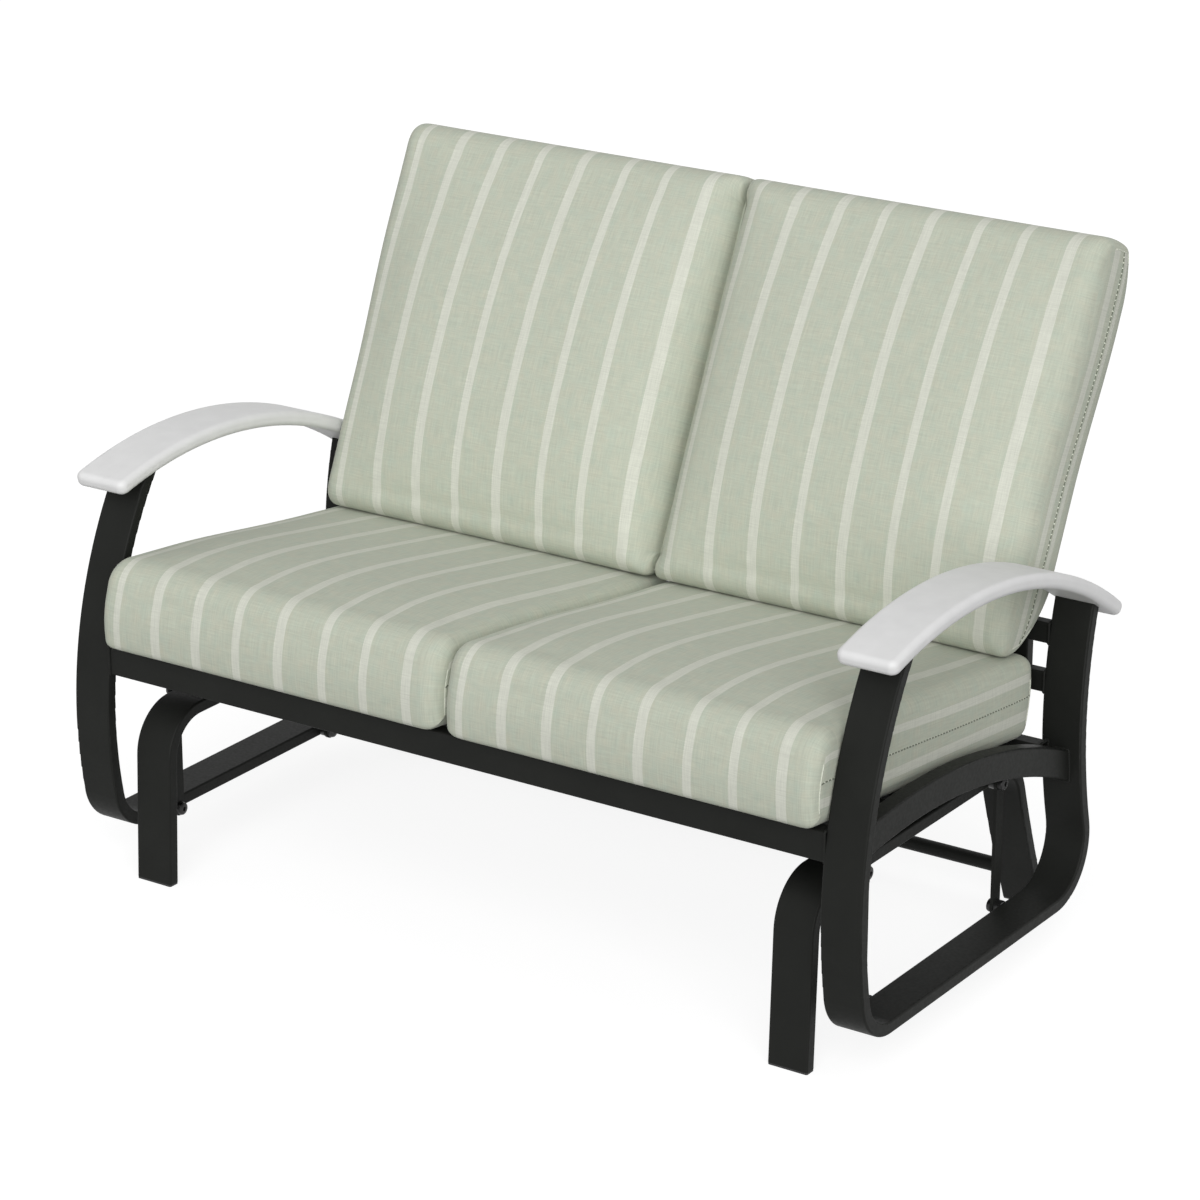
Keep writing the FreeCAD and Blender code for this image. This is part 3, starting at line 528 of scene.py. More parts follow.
@dataclass
class Outline:
    """Side outline of a cushion, as points (along, up) in metres, and how it is cut up.

    foot and heel are the cut-off lower edges, near and far, as (run, rise, bulge). slant is how
    far the near side leans in at its foot, and bow how far the near and the far side bulge. The
    top is lowered by dip where something presses on it: not at the first place of pressed,
    fully at the second.
    """

    sizes: CushionSizes
    near_round: float
    far_round: float
    foot: tuple
    heel: tuple
    slant: float
    bow: float
    pressed: tuple
    dip: float = 0.0

    def __post_init__(self):
        self.along = round(self.sizes.length / self.sizes.cell)
        self.up = round(self.sizes.thickness / self.sizes.cell)

    def top(self, crown, count=60):
        """The crowned top from the far rounding to the near one."""
        size = self.sizes
        low, high = self.near_round, size.length - self.far_round
        power = math.log(0.5) / math.log(size.crown_peak)
        shares = [1 - i / count for i in range(count + 1)]
        waves = [math.sin(math.pi * s ** power) for s in shares]
        return [(low + (high - low) * s,
                 size.thickness + crown * (1 - (1 - wave) ** CROWN_ALONG))
                for s, wave in zip(shares, waves)]

    def sides(self, crown):
        """The outline in four runs of points, each from corner to corner: under, far, top, near."""
        run, rise, bulge = self.foot
        heel_run, heel_rise, heel_bulge = self.heel
        length, thick = self.sizes.length, self.sizes.thickness
        foot_start = (self.slant, rise)
        heel_end = (length, heel_rise)
        foot = bulged(foot_start, (self.slant + run, 0), bulge)
        heel = bulged((length - heel_run, 0), heel_end, heel_bulge)
        far_turn = [(length - b, thick - self.far_round + a)
                    for a, b in quarter(self.far_round)]
        near_turn = [(b, thick - self.near_round + a)
                     for a, b in quarter(self.near_round)][::-1]
        top = self.top(crown)
        far = bulged(heel_end, far_turn[0], self.bow)
        near = bulged(near_turn[-1], foot_start, self.bow)
        half, turn = len(heel) // 2, len(far_turn) // 2
        under = foot[half:] + heel[:half + 1]
        far_side = heel[half:] + far[1:] + far_turn[1:turn + 1]
        top_side = far_turn[turn:] + top[1:-1] + near_turn[:turn + 1]
        near_side = near_turn[turn:] + near[1:] + foot[1:half + 1]
        counts = (self.along, self.up, self.along, self.up)
        return [self.dipped(evenly(side, count))
                for side, count in zip((under, far_side, top_side, near_side), counts)]

    def pressed_share(self, along):
        """0 where nothing presses on the cushion and 1 where it is fully pressed."""
        start, full = self.pressed
        return np.clip((along - start) / (full - start), 0, 1)

    def dipped(self, points):
        """The points with the top lowered where something presses on it."""
        upper = np.clip(2 * points[:, 1] / self.sizes.thickness - 1, 0, 1)
        points[:, 1] -= self.dip * gentle(self.pressed_share(points[:, 0])) * upper
        return points

    def loop(self, crown):
        """All points of the outline once round."""
        return np.concatenate([side[:-1] for side in self.sides(crown)])


def outward(loop):
    """Unit normals that point out of a closed outline that runs under, far, top, near."""
    ahead = np.roll(loop, -1, axis=0) - np.roll(loop, 1, axis=0)
    normals = np.stack([ahead[:, 1], -ahead[:, 0]], axis=1)
    return normals / np.linalg.norm(normals, axis=1)[:, None]


def stations(half, roll, cell):
    """Places across a cushion from its left side to its right, closer together at the sides."""
    steps = max(5, round(roll * math.pi / 2 / cell))
    ends = [half - roll * (1 - math.cos(math.pi / 2 * i / steps)) for i in range(steps)]
    count = round(2 * (half - roll) / cell)
    middle = np.linspace(-(half - roll), half - roll, count + 1)
    return np.concatenate([[-x for x in ends], middle, ends[::-1]])


# A cover is cut this much smaller than its room on each side, and swells into it
CUT_SPARE = 1.0 * MM
# The side panel's puff is full beyond this share of the length from its ends
PUFF_RAMP = 1 / 7
# Cloth that the rounding above and the one below a side panel take up, in outer side rounds
ROLL_ABOVE = 0.43
ROLL_BELOW = 0.43 * 0.4


class Cover:
    """Vertices, faces, UVs and seams of a cushion cover, in the cushion's own axes.

    The first axis is across the bench, the second along the cushion and the third up
    through it. outer is the side that faces an arm: -1 on the left, 1 on the right.
    """

    def __init__(self, outline, half, outer):
        self.outline = outline
        self.outer = outer
        self.half = half - CUT_SPARE
        size = outline.sizes
        self.across = stations(self.half, max(size.side_round, size.inner_round), size.cell)
        self.ring = 2 * (outline.along + outline.up)
        self.points = []
        self.faces = []
        self.cloth = []
        self.wrap()
        self.caps = [self.cap(0, True), self.cap(len(self.across) - 1, False)]
        self.points = np.array(self.points)

    def inset(self, x, normals):
        """How far each outline point is drawn in near the sides, more on top than elsewhere."""
        size = self.outline.sizes
        edge = self.half - abs(x)
        up = normals[:, 1]
        outer = x * self.outer > 0
        top = size.side_round if outer else size.inner_round
        corner = size.corner_round if outer else size.inner_corner
        rolls = np.where(up > 0, corner + (top - corner) * up ** 2, corner)
        depth = np.clip(rolls - edge, 0, None)
        return rolls - np.sqrt(np.clip(rolls ** 2 - depth ** 2, 0, None))

    def crown_at(self, x):
        share = min(abs(x) / self.half, 1)
        return self.outline.sizes.crown * (1 - share ** CROWN_ACROSS)

    def wrap(self):
        """The cloth that wraps over the top, the two ends and underneath."""
        lengths = None
        for x in self.across:
            loop = self.outline.loop(self.crown_at(x))
            normals = outward(loop)
            drawn = loop - normals * self.inset(x, normals)[:, None]
            self.points.extend((x, a, b) for a, b in drawn)
            if lengths is None:
                steps = np.linalg.norm(np.roll(loop, -1, axis=0) - loop, axis=1)
                lengths = np.concatenate([[0], np.cumsum(steps)])
        for i in range(len(self.across) - 1):
            for j in range(self.ring):
                k = (j + 1) % self.ring
                self.faces.append((i * self.ring + j, i * self.ring + k,
                                   (i + 1) * self.ring + k, (i + 1) * self.ring + j))
                u0, u1 = self.across[i] + self.half, self.across[i + 1] + self.half
                v0, v1 = lengths[j], lengths[j + 1]
                self.cloth.append(((u0, v0), (u0, v1), (u1, v1), (u1, v0)))

    def cap(self, station, left):
        """One side of the cushion, a grid spanned between the four runs of the outline.

        The grid holds the number of each point, by its place along and up the side.
        """
        n, m = self.outline.along, self.outline.up
        base = station * self.ring
        grid = np.zeros((n + 1, m + 1), int) - 1
        for i in range(n + 1):
            grid[i, 0] = base + i
            grid[n - i, m] = base + n + m + i
        for j in range(m + 1):
            grid[n, j] = base + n + j
            grid[0, m - j] = base + (2 * n + m + j) % self.ring
        edge = {key: np.array(self.points[grid[key]]) for key in
                [(i, j) for i in range(n + 1) for j in (0, m)] +
                [(i, j) for i in (0, n) for j in range(m + 1)]}
        puff = self.outline.sizes.side_puff * (-1 if left else 1)
        for i in range(1, n):
            for j in range(1, m):
                a, b = i / n, j / m
                point = ((1 - b) * edge[i, 0] + b * edge[i, m]
                         + (1 - a) * edge[0, j] + a * edge[n, j]
                         - (1 - a) * (1 - b) * edge[0, 0] - a * (1 - b) * edge[n, 0]
                         - (1 - a) * b * edge[0, m] - a * b * edge[n, m])
                ramp = 1 - max(0, 1 - min(a, 1 - a) / PUFF_RAMP) ** 2
                point[0] += puff * 4 * b * (1 - b) * ramp
                grid[i, j] = len(self.points)
                self.points.append(tuple(point))
        self.cap_faces(grid, edge, left)
        return grid

    def cap_faces(self, grid, edge, left):
        """Faces of one side, which look outwards, and their places on the cloth."""
        n, m = self.outline.along, self.outline.up
        for i in range(n):
            for j in range(m):
                corners = [(i, j), (i + 1, j), (i + 1, j + 1), (i, j + 1)]
                if left:
                    corners = corners[::-1]
                upper = j >= m // 2
                self.faces.append(tuple(int(grid[c]) for c in corners))
                self.cloth.append(tuple(self.side_cloth(edge, c, left, upper)
                                        for c in corners))

    def side_cloth(self, edge, corner, left, upper):
        """Place on the cloth of a point of the side, which the cloth reaches from the top or from
        underneath, up to the seam at half height."""
        i, j = corner
        m = self.outline.up
        thick = edge[i, m][2] - edge[i, 0][2]
        down = thick * (1 - j / m if upper else j / m)
        reach = down + (ROLL_ABOVE if upper else ROLL_BELOW) * self.outline.sizes.side_round
        across = -reach if left else 2 * self.half + reach
        return across, i * self.outline.sizes.length / self.outline.along


# Filling of the covers

CLOTH_SETTINGS = {
    "quality": 4, "mass": 0.3, "tension_stiffness": 12, "compression_stiffness": 12,
    "shear_stiffness": 4, "bending_stiffness": 0.6, "use_pressure": True,
    "pin_stiffness": 1.0,
}
# Last frame of the filling, and how often the push is then averaged
FILL_FRAMES = 20
SOOTHE_ROUNDS = 24
# How firmly the filling leaves a cover in place where it rests, up to this height, and at a seam
REST_HEIGHT = 4 * MM
REST_HOLD = 0.9
SEAM_HOLD = 0.95
# A corner seam stops this many cells above the lower edge and below the upper one
SEAM_LOW = 2
SEAM_HIGH = 3
# Share of the swell that is lost where the cushion is fully pressed
PRESSED_LOSS = 0.9


def held_weights(cover):
    """How firmly each point of a cover is held, from 0 to 1."""
    held = np.zeros(len(cover.points))
    held[cover.points[:, 2] < REST_HEIGHT] = REST_HOLD
    for grid in cover.caps:
        held[grid[1:-1, cover.outline.up // 2]] = SEAM_HOLD
        for end in (0, -1):
            held[grid[end, SEAM_LOW:-SEAM_HIGH]] = SEAM_HOLD
    return held


def filled(piece, cover):
    """Points of the cover after the filling has pushed it out in a short cloth simulation."""
    start = np.array([v.co for v in piece.data.vertices])
    sizes = cover.outline.sizes
    group = piece.vertex_groups.new(name="held")
    for index, weight in enumerate(held_weights(cover)):
        if weight > 0:
            group.add([index], float(weight), "REPLACE")
    cloth = piece.modifiers.new("cover", "CLOTH")
    settings = cloth.settings
    for name, value in CLOTH_SETTINGS.items():
        setattr(settings, name, value)
    settings.uniform_pressure_force = sizes.pressure
    settings.effector_weights.gravity = 0
    settings.vertex_group_mass = group.name
    cloth.collision_settings.use_collision = False
    cloth.collision_settings.use_self_collision = False
    scene = bpy.context.scene
    for number in range(1, FILL_FRAMES + 1):
        scene.frame_set(number)
    graph = bpy.context.evaluated_depsgraph_get()
    swollen = np.array([v.co for v in piece.evaluated_get(graph).data.vertices])
    piece.modifiers.remove(cloth)
    piece.vertex_groups.remove(group)
    scene.frame_set(1)
    # The foam core holds its own shape, so the cover can swell off it but not sink into it
    push = swollen - start
    normals = np.array([v.normal for v in piece.data.vertices])
    sunk = np.minimum(np.sum(push * normals, axis=1), 0)
    push -= normals * sunk[:, None]
    share = cover.outline.pressed_share(cover.points[:, 1])
    share *= cover.points[:, 2] > sizes.thickness / 3
    most = sizes.swell * (1 - PRESSED_LOSS * share)
    far = np.maximum(np.linalg.norm(push, axis=1), 1e-9)
    return start + soothed(push * (softly_below(far, most) / far)[:, None], piece)


def soothed(push, piece):
    """The push averaged with its neighbours, so that the filling makes no sharp folds."""
    ends = np.array([edge.vertices[:] for edge in piece.data.edges])
    count = np.bincount(ends.ravel(), minlength=len(push))[:, None]
    for _ in range(SOOTHE_ROUNDS):
        total = np.zeros_like(push)
        np.add.at(total, ends[:, 0], push[ends[:, 1]])
        np.add.at(total, ends[:, 1], push[ends[:, 0]])
        push = (push + total / count) / 2
    return push


# A side may swell this far past its solid, and is eased back over the second distance
SIDE_SPARE = 2.9 * MM
SIDE_GIVE = 3.5 * MM

# How much further the outer side of a cushion bulges, fully so at this height over the arm
FREE_BULGE = 0.008
FREE_RISE = 0.22


def fitted(placed, limits, outer):
    """The points with both sides held in their room, and the outer one bulged where it stands
    free above the arm."""
    low, high = limits
    middle, reach = (low + high) / 2, (high - low) / 2
    side = placed[:, 0] - middle
    past = np.maximum(np.abs(side) - (reach - SIDE_GIVE), 0)
    eased = np.abs(side) - past + softly_below(past, SIDE_GIVE)
    placed[:, 0] = middle + np.sign(side) * eased
    arm_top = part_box("arm_left")[1].z
    share = np.clip(outer * (placed[:, 0] - middle) / reach, 0, 1) ** 4
    free = np.clip((placed[:, 2] - arm_top) / FREE_RISE, 0, 1)
    placed[:, 0] += outer * FREE_BULGE * share * gentle(free)
    return placed


# The first stripe's place on a cushion, from its left side
FIRST_STRIPE = 0.032


def cushion_piece(name, cover, place, limits):
    """Object of one cushion, filled, put in its place and subdivided."""
    piece = mesh_object(name, cover.points, cover.faces)
    layer = piece.data.uv_layers.new(name="cover")
    flat = [(u - FIRST_STRIPE, v) for face in cover.cloth for u, v in face]
    layer.data.foreach_set("uv", np.array(flat, np.float32).ravel())
    placed = fitted(place(filled(piece, cover)), limits, cover.outer)
    piece.data.vertices.foreach_set("co", placed.astype(np.float32).ravel())
    piece.data.update()
    smooth = piece.modifiers.new("smooth", "SUBSURF")
    smooth.levels = 1
    smooth.render_levels = 1
    mesh = plain_mesh(piece)
    piece.modifiers.remove(smooth)
    old = piece.data
    piece.data = mesh
    bpy.data.meshes.remove(old)
    mesh.name = name
    for polygon in mesh.polygons:
        polygon.use_smooth = True
    return piece


def seam_lines(cover, piece):
    """Runs of points along the side seams, and along the corner seams, of a cushion."""
    points = np.array([v.co for v in piece.data.vertices[:len(cover.points)]])
    m = cover.outline.up
    sides = [points[grid[:, m // 2]] for grid in cover.caps]
    corners = [points[grid[end, SEAM_LOW:m - SEAM_HIGH]]
               for grid in cover.caps for end in (0, -1)]
    return sides, corners


# Sewing, welds and bolts

# Waves of a seam's uneven edge in a metre, and how far a weld's ripples swell and shrink
WOBBLES = 140.0
RIPPLE_SWELL = 0.13
# Steps of the curve in one ripple of a weld
RIPPLE_STEPS = 4.0


def welt_tree():
    """Thin uneven cord along lines: the line of a seam. Its material makes it pale, a painted
    highlight on the turned edge, at the corner seams, and dark, painted shade in the furrow, at the
    side seams.
    """
    tree, given = geometry_tree("seam_welt", "Radius", "Step", "Wobble")
    curve = even_curve(tree, given["Geometry"], given["Step"])
    place = flow(tree, "GeometryNodeInputPosition")
    uneven = add(tree, "ShaderNodeTexNoise", {"Vector": place, "Scale": WOBBLES})
    centred = flow(tree, "ShaderNodeVectorMath", {0: uneven.outputs["Color"],
                                                  1: (0.5, 0.5, 0.5)}, operation="SUBTRACT")
    wavy = flow(tree, "GeometryNodeSetPosition", {
        "Geometry": curve, "Offset": scaled(tree, centred, given["Wobble"])})
    finish_tree(tree, given, tube(tree, wavy, 6, given["Radius"], True))


def stitch_tree():
    """Short stitches spaced along lines, each a slim bead that follows the line."""
    tree, given = geometry_tree("stitches", "Pitch", "Length", "Width")
    curve = flow(tree, "GeometryNodeMeshToCurve", {"Mesh": given["Geometry"]})
    points = add(tree, "GeometryNodeCurveToPoints", {"Curve": curve,
                                                     "Length": given["Pitch"]},
                 mode="LENGTH").outputs
    bead = flow(tree, "GeometryNodeMeshIcoSphere", {"Radius": 0.5, "Subdivisions": 1})
    size = flow(tree, "ShaderNodeCombineXYZ", {"X": given["Width"], "Y": given["Width"],
                                               "Z": given["Length"]})
    finish_tree(tree, given, flow(tree, "GeometryNodeInstanceOnPoints", {
        "Points": points["Points"], "Instance": bead, "Rotation": points["Rotation"],
        "Scale": size}))


def weld_tree():
    """Rippled bead along closed lines: the weld where one tube is joined to another."""
    tree, given = geometry_tree("weld_bead", "Radius", "Ripple")
    step = maths(tree, "DIVIDE", given["Ripple"], RIPPLE_STEPS)
    curve = even_curve(tree, given["Geometry"], step)
    run = add(tree, "GeometryNodeSplineParameter").outputs["Length"]
    turns = maths(tree, "DIVIDE", run, given["Ripple"])
    wave = maths(tree, "SINE", maths(tree, "MULTIPLY", turns, 2 * math.pi))
    swell = maths(tree, "MULTIPLY_ADD", wave, RIPPLE_SWELL, 1.0)
    radius = maths(tree, "MULTIPLY", swell, given["Radius"])
    finish_tree(tree, given, tube(tree, curve, 8, radius, False))
    return tree


def bolt_tree():
    """The same bolt laid at each point, turned about Z by the point's own angle."""
    tree, given = geometry_tree("bolts", objects=["Bolt"])
    points = flow(tree, "GeometryNodeMeshToPoints", {"Mesh": given["Geometry"]})
    bolt = add(tree, "GeometryNodeObjectInfo", {"Object": given["Bolt"]})
    angle = flow(tree, "GeometryNodeInputNamedAttribute", {"Name": "turn"},
                 data_type="FLOAT")
    finish_tree(tree, given, flow(tree, "GeometryNodeInstanceOnPoints", {
        "Points": points, "Instance": bolt.outputs["Geometry"],
        "Rotation": flow(tree, "ShaderNodeCombineXYZ", {"Z": angle})}), crease=30)
    return tree


def node_points(node):
    """All vertices of a carried-over node, in the frame's own metres."""
    piece = frame["nodes"][node]
    points = np.array([v.co for v in piece.data.vertices])
    turn = np.array(piece.matrix_world)
    return points @ turn[:3, :3].T + turn[:3, 3]


# A weld's line runs this far outside the tube's own outline
WELD_PROUD = 0.6 * MM
# Vertices this near to the far end of a straight and of a curved tube lie on that end
STRAIGHT_END = 0.1 * MM
CURVED_END = 0.15 * MM


def outline_of(points, plane):
    """The points on the outside of a flat set of points, in order round it and grown a little."""
    order = convex_hull_2d([tuple(p[list(plane)]) for p in points])
    loop = points[order]
    out = loop - loop.mean(axis=0)
    return loop + out / np.linalg.norm(out, axis=1)[:, None] * WELD_PROUD


def straight_ends(node):
    """Outlines of both ends of a tube that runs across the bench."""
    points = node_points(node)
    ends = []
    for side in (-1, 1):
        far = (points[:, 0] * side).max()
        ends.append(outline_of(points[points[:, 0] * side > far - STRAIGHT_END], (1, 2)))
    return ends


# Middle of the circles that the front and the rear posts follow, as (y, z)
FRONT_POST_CENTRE = (0.2355, 0.246)
REAR_POST_CENTRE = (0.846, 0.335)


def curved_ends(node):
    """Outlines of both ends of an arched rail, which follow the round posts that they meet."""
    points = node_points(node)
    from_front = np.hypot(*(points[:, 1:] - FRONT_POST_CENTRE).T)
    from_rear = np.hypot(*(points[:, 1:] - REAR_POST_CENTRE).T)
    picked = (from_front > from_front.max() - CURVED_END,
              from_rear < from_rear.min() + CURVED_END)
    return [outline_of(points[chosen], (0, 2)) for chosen in picked]


def pin_places(node):
    """Tip, heading and length of each of the four bolts of a node."""
    points = node_points(node)
    middle = (points[:, 1].min() + points[:, 1].max()) / 2
    places = []
    for right in (False, True):
        for back in (False, True):
            own = points[((points[:, 0] > 0) == right) & ((points[:, 1] > middle) == back)]
            low, high = own.min(axis=0), own.max(axis=0)
            centre = (low + high) / 2
            far = np.hypot(*(own[:, 1:] - centre[1:]).T)
            head_high = (far[own[:, 0] > high[0] - STRAIGHT_END].max()
                         > far[own[:, 0] < low[0] + STRAIGHT_END].max())
            tip = (low if head_high else high)[0]
            places.append(((tip, centre[1], centre[2]), 0.0 if head_high else math.pi,
                           high[0] - low[0]))
    return places


def bolt_mesh(length, hardware):
    """Domed bolt with a hexagon socket, its tip at the origin and its head along X."""
    head, radius, socket = (length - hardware.head_height, hardware.head_radius,
                            hardware.socket)
    thread, shank = 0.0040, 0.0050
    profile = [
        # The tip's chamfer, the thread and the smooth shank up to the head
        (0, 0.0032, 0), (0.0008, thread, 0), (0.0140, thread, 0), (0.0142, shank, 0),
        (head, shank, 0),
        # The head with its dome
        (head, radius, 0), (head + 0.0026, radius, 0),
        (length - 0.0016, radius - 0.0008, 0), (length - 0.0006, radius - 0.0026, 0),
        (length, radius - 0.0046, 0),
        # The socket, with a small chamfer
        (length, socket + 0.0004, 1), (length - 0.0004, socket, 1),
        (length - 0.0032, socket, 1),
    ]
    return lathe(profile, 36)


def lathe(profile, count):
    """Vertices and faces of a profile of (along, radius, six) turned about the X axis, where a
    six of 1 makes that ring a hexagon."""
    vertices, faces = [], []
    for along, radius, six in profile:
        for i in range(count):
            turn = 2 * math.pi * i / count
            flat = math.cos(math.pi / 6) / math.cos(turn % (math.pi / 3) - math.pi / 6)
            reach = radius * (flat if six else 1)
            vertices.append((along, reach * math.cos(turn), reach * math.sin(turn)))
    for row in range(len(profile) - 1):
        for i in range(count):
            k = (i + 1) % count
            faces.append((row * count + i, (row + 1) * count + i, (row + 1) * count + k,
                          row * count + k))
    last = (len(profile) - 1) * count
    faces.append(tuple(range(count)))
    faces.append(tuple(last + i for i in reversed(range(count))))
    return vertices, faces


# Steps that build the bench


def cushion_frame(node, turn, foot):
    """Function that places a cushion's own axes in the bench: tilted by turn about X, with its
    near underneath edge at foot and its middle at the middle of the node."""
    low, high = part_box(node)
    middle = (low.x + high.x) / 2
    ahead = Vector((0, math.cos(turn), math.sin(turn)))
    up = Vector((0, -math.sin(turn), math.cos(turn)))
    origin = Vector((middle, foot[0], foot[1]))

    def place(points):
        axes = np.array([(1, 0, 0), ahead, up])
        return points @ axes + np.array(origin)

    return place


# Angle of each cushion, and the near underneath edge as (y, z), as the frame carries them
SEAT_TURN = math.radians(-6.4)
SEAT_EDGE = (-0.43198, 0.37586)
BACK_TURN = math.radians(90 - 25)
BACK_EDGE = (0.19290, 0.40785)

# Spacing of the points along a seam, and how far its turned edge strays from a smooth line
SEAM_STEP = 3 * MM
SEAM_WOBBLE = 0.6 * MM


def dress_cushion(name, node, outline, turn, edge):
    """Make one cushion with its seams, in place of a node."""
    low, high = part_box(node)
    outer = 1 if low.x + high.x > 0 else -1
    cover = Cover(outline, (high.x - low.x) / 2, outer)
    piece = cushion_piece(name, cover, cushion_frame(node, turn, edge),
                          (low.x - SIDE_SPARE, high.x + SIDE_SPARE))
    piece.data.materials.append(bpy.data.materials["woven_acrylic_cloth"])
    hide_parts(node)
    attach(piece, "seat")
    sides, corners = seam_lines(cover, piece)
    sewing = bpy.context.scene.bench.sewing
    trees = bpy.data.node_groups
    # The pale seam material's colour is a painted highlight on the turned edge; the dark one, held
    # as thread, is painted shade in the seam's furrow
    painted_highlight_edge = bpy.data.materials["turned_seam_edge_painted_highlight"]
    thread = bpy.data.materials["seam_thread_painted_light"]
    seams = [grown(name + ending, polyline_object("lines", lines), trees["seam_welt"],
                   {"Radius": sewing.welt, "Step": SEAM_STEP, "Wobble": SEAM_WOBBLE,
                    "Material": material})
             for ending, lines, material in (("_side_seams", sides, thread),
                                             ("_corner_seams", corners, painted_highlight_edge))]
    # Between the darker stitches of a side seam the turned edge shows as short ticks, pale with
    # painted highlight; the darker line is painted shade in the seam's furrow
    seams.append(grown(name + "_ticks", polyline_object("lines", sides), trees["stitches"],
                       {"Pitch": sewing.stitch_pitch, "Length": sewing.stitch_length,
                        "Width": sewing.stitch_width, "Material": painted_highlight_edge}))
    for seam in seams:
        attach(seam, "seat")


class BENCH_OT_cloth(bpy.types.Operator):
    """Make the cloth, the seam thread in a pale copy with painted highlight and a dark copy with
    painted shade, and the trees that sew it
    """

    bl_idname = "bench.cloth"
    bl_label = "Cloth and sewing"

    def execute(self, context):
        striped_cloth(context.scene.bench.finishes)
        # Lit and shaded copies of one seam thread: the pale one is a painted highlight on the
        # turned edge, the dark one painted shade in the seam's furrow
        seam_thread_painted_light("turned_seam_edge_painted_highlight", "D6DACB")
        seam_thread_painted_light("seam_thread_painted_light", "6C7264")
        welt_tree()
        stitch_tree()
        return {"FINISHED"}


class BENCH_OT_seat_cushions(bpy.types.Operator):
    """Make the two seat cushions"""

    bl_idname = "bench.seat_cushions"
    bl_label = "Seat cushions"

    def execute(self, context):
        outline = Outline(context.scene.bench.seat, near_round=0.042, far_round=0.024,
                          foot=(0.010, 0.012, 0.0032), heel=(0.024, 0.024, 0.007),
                          slant=0.001, bow=0.005, pressed=(0.12, 0.46), dip=0.009)
        for side in ("left", "right"):
            dress_cushion("seat_pad_" + side, "seat_cushion_" + side, outline, SEAT_TURN,
                          SEAT_EDGE)
        return {"FINISHED"}


class BENCH_OT_back_cushions(bpy.types.Operator):
    """Make the two back cushions"""

    bl_idname = "bench.back_cushions"
    bl_label = "Back cushions"

    def execute(self, context):
        outline = Outline(context.scene.bench.back, near_round=0.036, far_round=0.040,
                          foot=(0.092, 0.056, 0.008), heel=(0.080, 0.026, 0.005),
                          slant=0.014, bow=0.002, pressed=(0.24, 0.02))
        for side in ("left", "right"):
            dress_cushion("back_pad_" + side, "back_cushion_" + side, outline, BACK_TURN,
                          BACK_EDGE)
        return {"FINISHED"}


class BENCH_OT_finish_frame(bpy.types.Operator):
    """Give every carried-over part of the frame its own finish"""

    bl_idname = "bench.finish_frame"
    bl_label = "Frame finishes"

    def execute(self, context):
        finishes = context.scene.bench.finishes
        made = {
            "frame_metal": powder_coat(finishes.coat),
            "arm_board": arm_polymer(finishes.board),
            "bush_plastic": moulded_plastic("acetal_bearing", "161616", 0.35),
            "black_plastic": moulded_plastic("nylon_glide", "1B1B1B", 0.6),
            "zinc_steel": plated_steel("zinc_plated_steel", "B4B6B8", 0.4),
            "dark_steel": plated_steel("black_oxide_steel", "3A3A3A", 0.38),
        }
        for entry in frame["record"]["subparts"]:
            finish = made.get(entry["material_slot"])
            if finish is None:
                continue
            node = frame["nodes"][entry["node"]]
            for slot in node.material_slots:
                slot.material = finish
        return {"FINISHED"}


class BENCH_OT_welds(bpy.types.Operator):
    """Run a weld bead round each tube end that meets another tube"""

    bl_idname = "bench.welds"
    bl_label = "Welds"

    def execute(self, context):
        hardware = context.scene.bench.hardware
        tree = weld_tree()
        metal = bpy.data.materials["powder_coated_steel"]
        rails = ("front_rail", "rear_seat_rail", "back_lower_rail", "back_upper_rail")
        seat = [end for node in rails for end in straight_ends(node)]
        for side in ("left", "right"):
            seat += curved_ends("seat_side_rail_" + side)
        base = [end for node in ("rear_stretcher", "upper_stretcher")
                for end in straight_ends(node)]
        for body, ends in (("seat", seat), ("base", base)):
            closed = [list(end) + [end[0]] for end in ends]
            piece = grown(body + "_welds", polyline_object("lines", closed), tree,
                          {"Radius": hardware.weld_radius, "Ripple": hardware.weld_ripple,
                           "Material": metal})
            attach(piece, body)
        return {"FINISHED"}


class BENCH_OT_bolts(bpy.types.Operator):
    """Swap the plain pivot bolts for domed ones with a hexagon socket"""

    bl_idname = "bench.bolts"
    bl_label = "Pivot bolts"

    def execute(self, context):
        hardware = context.scene.bench.hardware
        tree = bolt_tree()
        for node, body in (("upper_pivot_bolts", "base"), ("lower_pivot_bolts", "seat")):
            tips, turns, lengths = zip(*pin_places(node))
            points = mesh_object("points", tips)
            layer = points.data.attributes.new("turn", "FLOAT", "POINT")
            layer.data.foreach_set("value", turns)
            pattern = mesh_object("bolt", *bolt_mesh(lengths[0], hardware))
            piece = grown(node + "_detailed", points, tree,
                          {"Bolt": pattern,
                           "Material": bpy.data.materials["black_oxide_steel"]})
            bpy.data.objects.remove(pattern)
            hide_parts(node)
            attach(piece, body)
        return {"FINISHED"}


# Studio

# Point that the camera looks at, and the width of its sensor in millimetres
AIM = (-0.52047, 0.74707, 0.10702)
SENSOR = 36
# How far from the bench the key light's lamp is drawn, which doesn't change a sun's light
LAMP_AWAY = 6
# Reach of the floor each way, its own glow towards the camera, and the grey of its paint
FLOOR_REACH = 30.0
FLOOR_GLOW = 0.84
FLOOR_GREY = 0.3


def direction(turn, rise):
    """Unit vector to a place that is turned round from straight in front, and raised."""
    return Vector((math.sin(turn) * math.cos(rise), -math.cos(turn) * math.cos(rise),
                   math.sin(rise)))


def facing(away):
    """Rotation of a lamp or camera that looks back along a direction."""
    return (-away).to_track_quat("-Z", "Y").to_euler()


def background_rays(tree):
    """1 on rays that show the white background: seen straight, mirrored or through glass."""
    path = add(tree, "ShaderNodeLightPath").outputs
    direct = maths(tree, "MAXIMUM", path["Is Camera Ray"], path["Is Glossy Ray"])
    return maths(tree, "MAXIMUM", direct, path["Is Transmission Ray"])


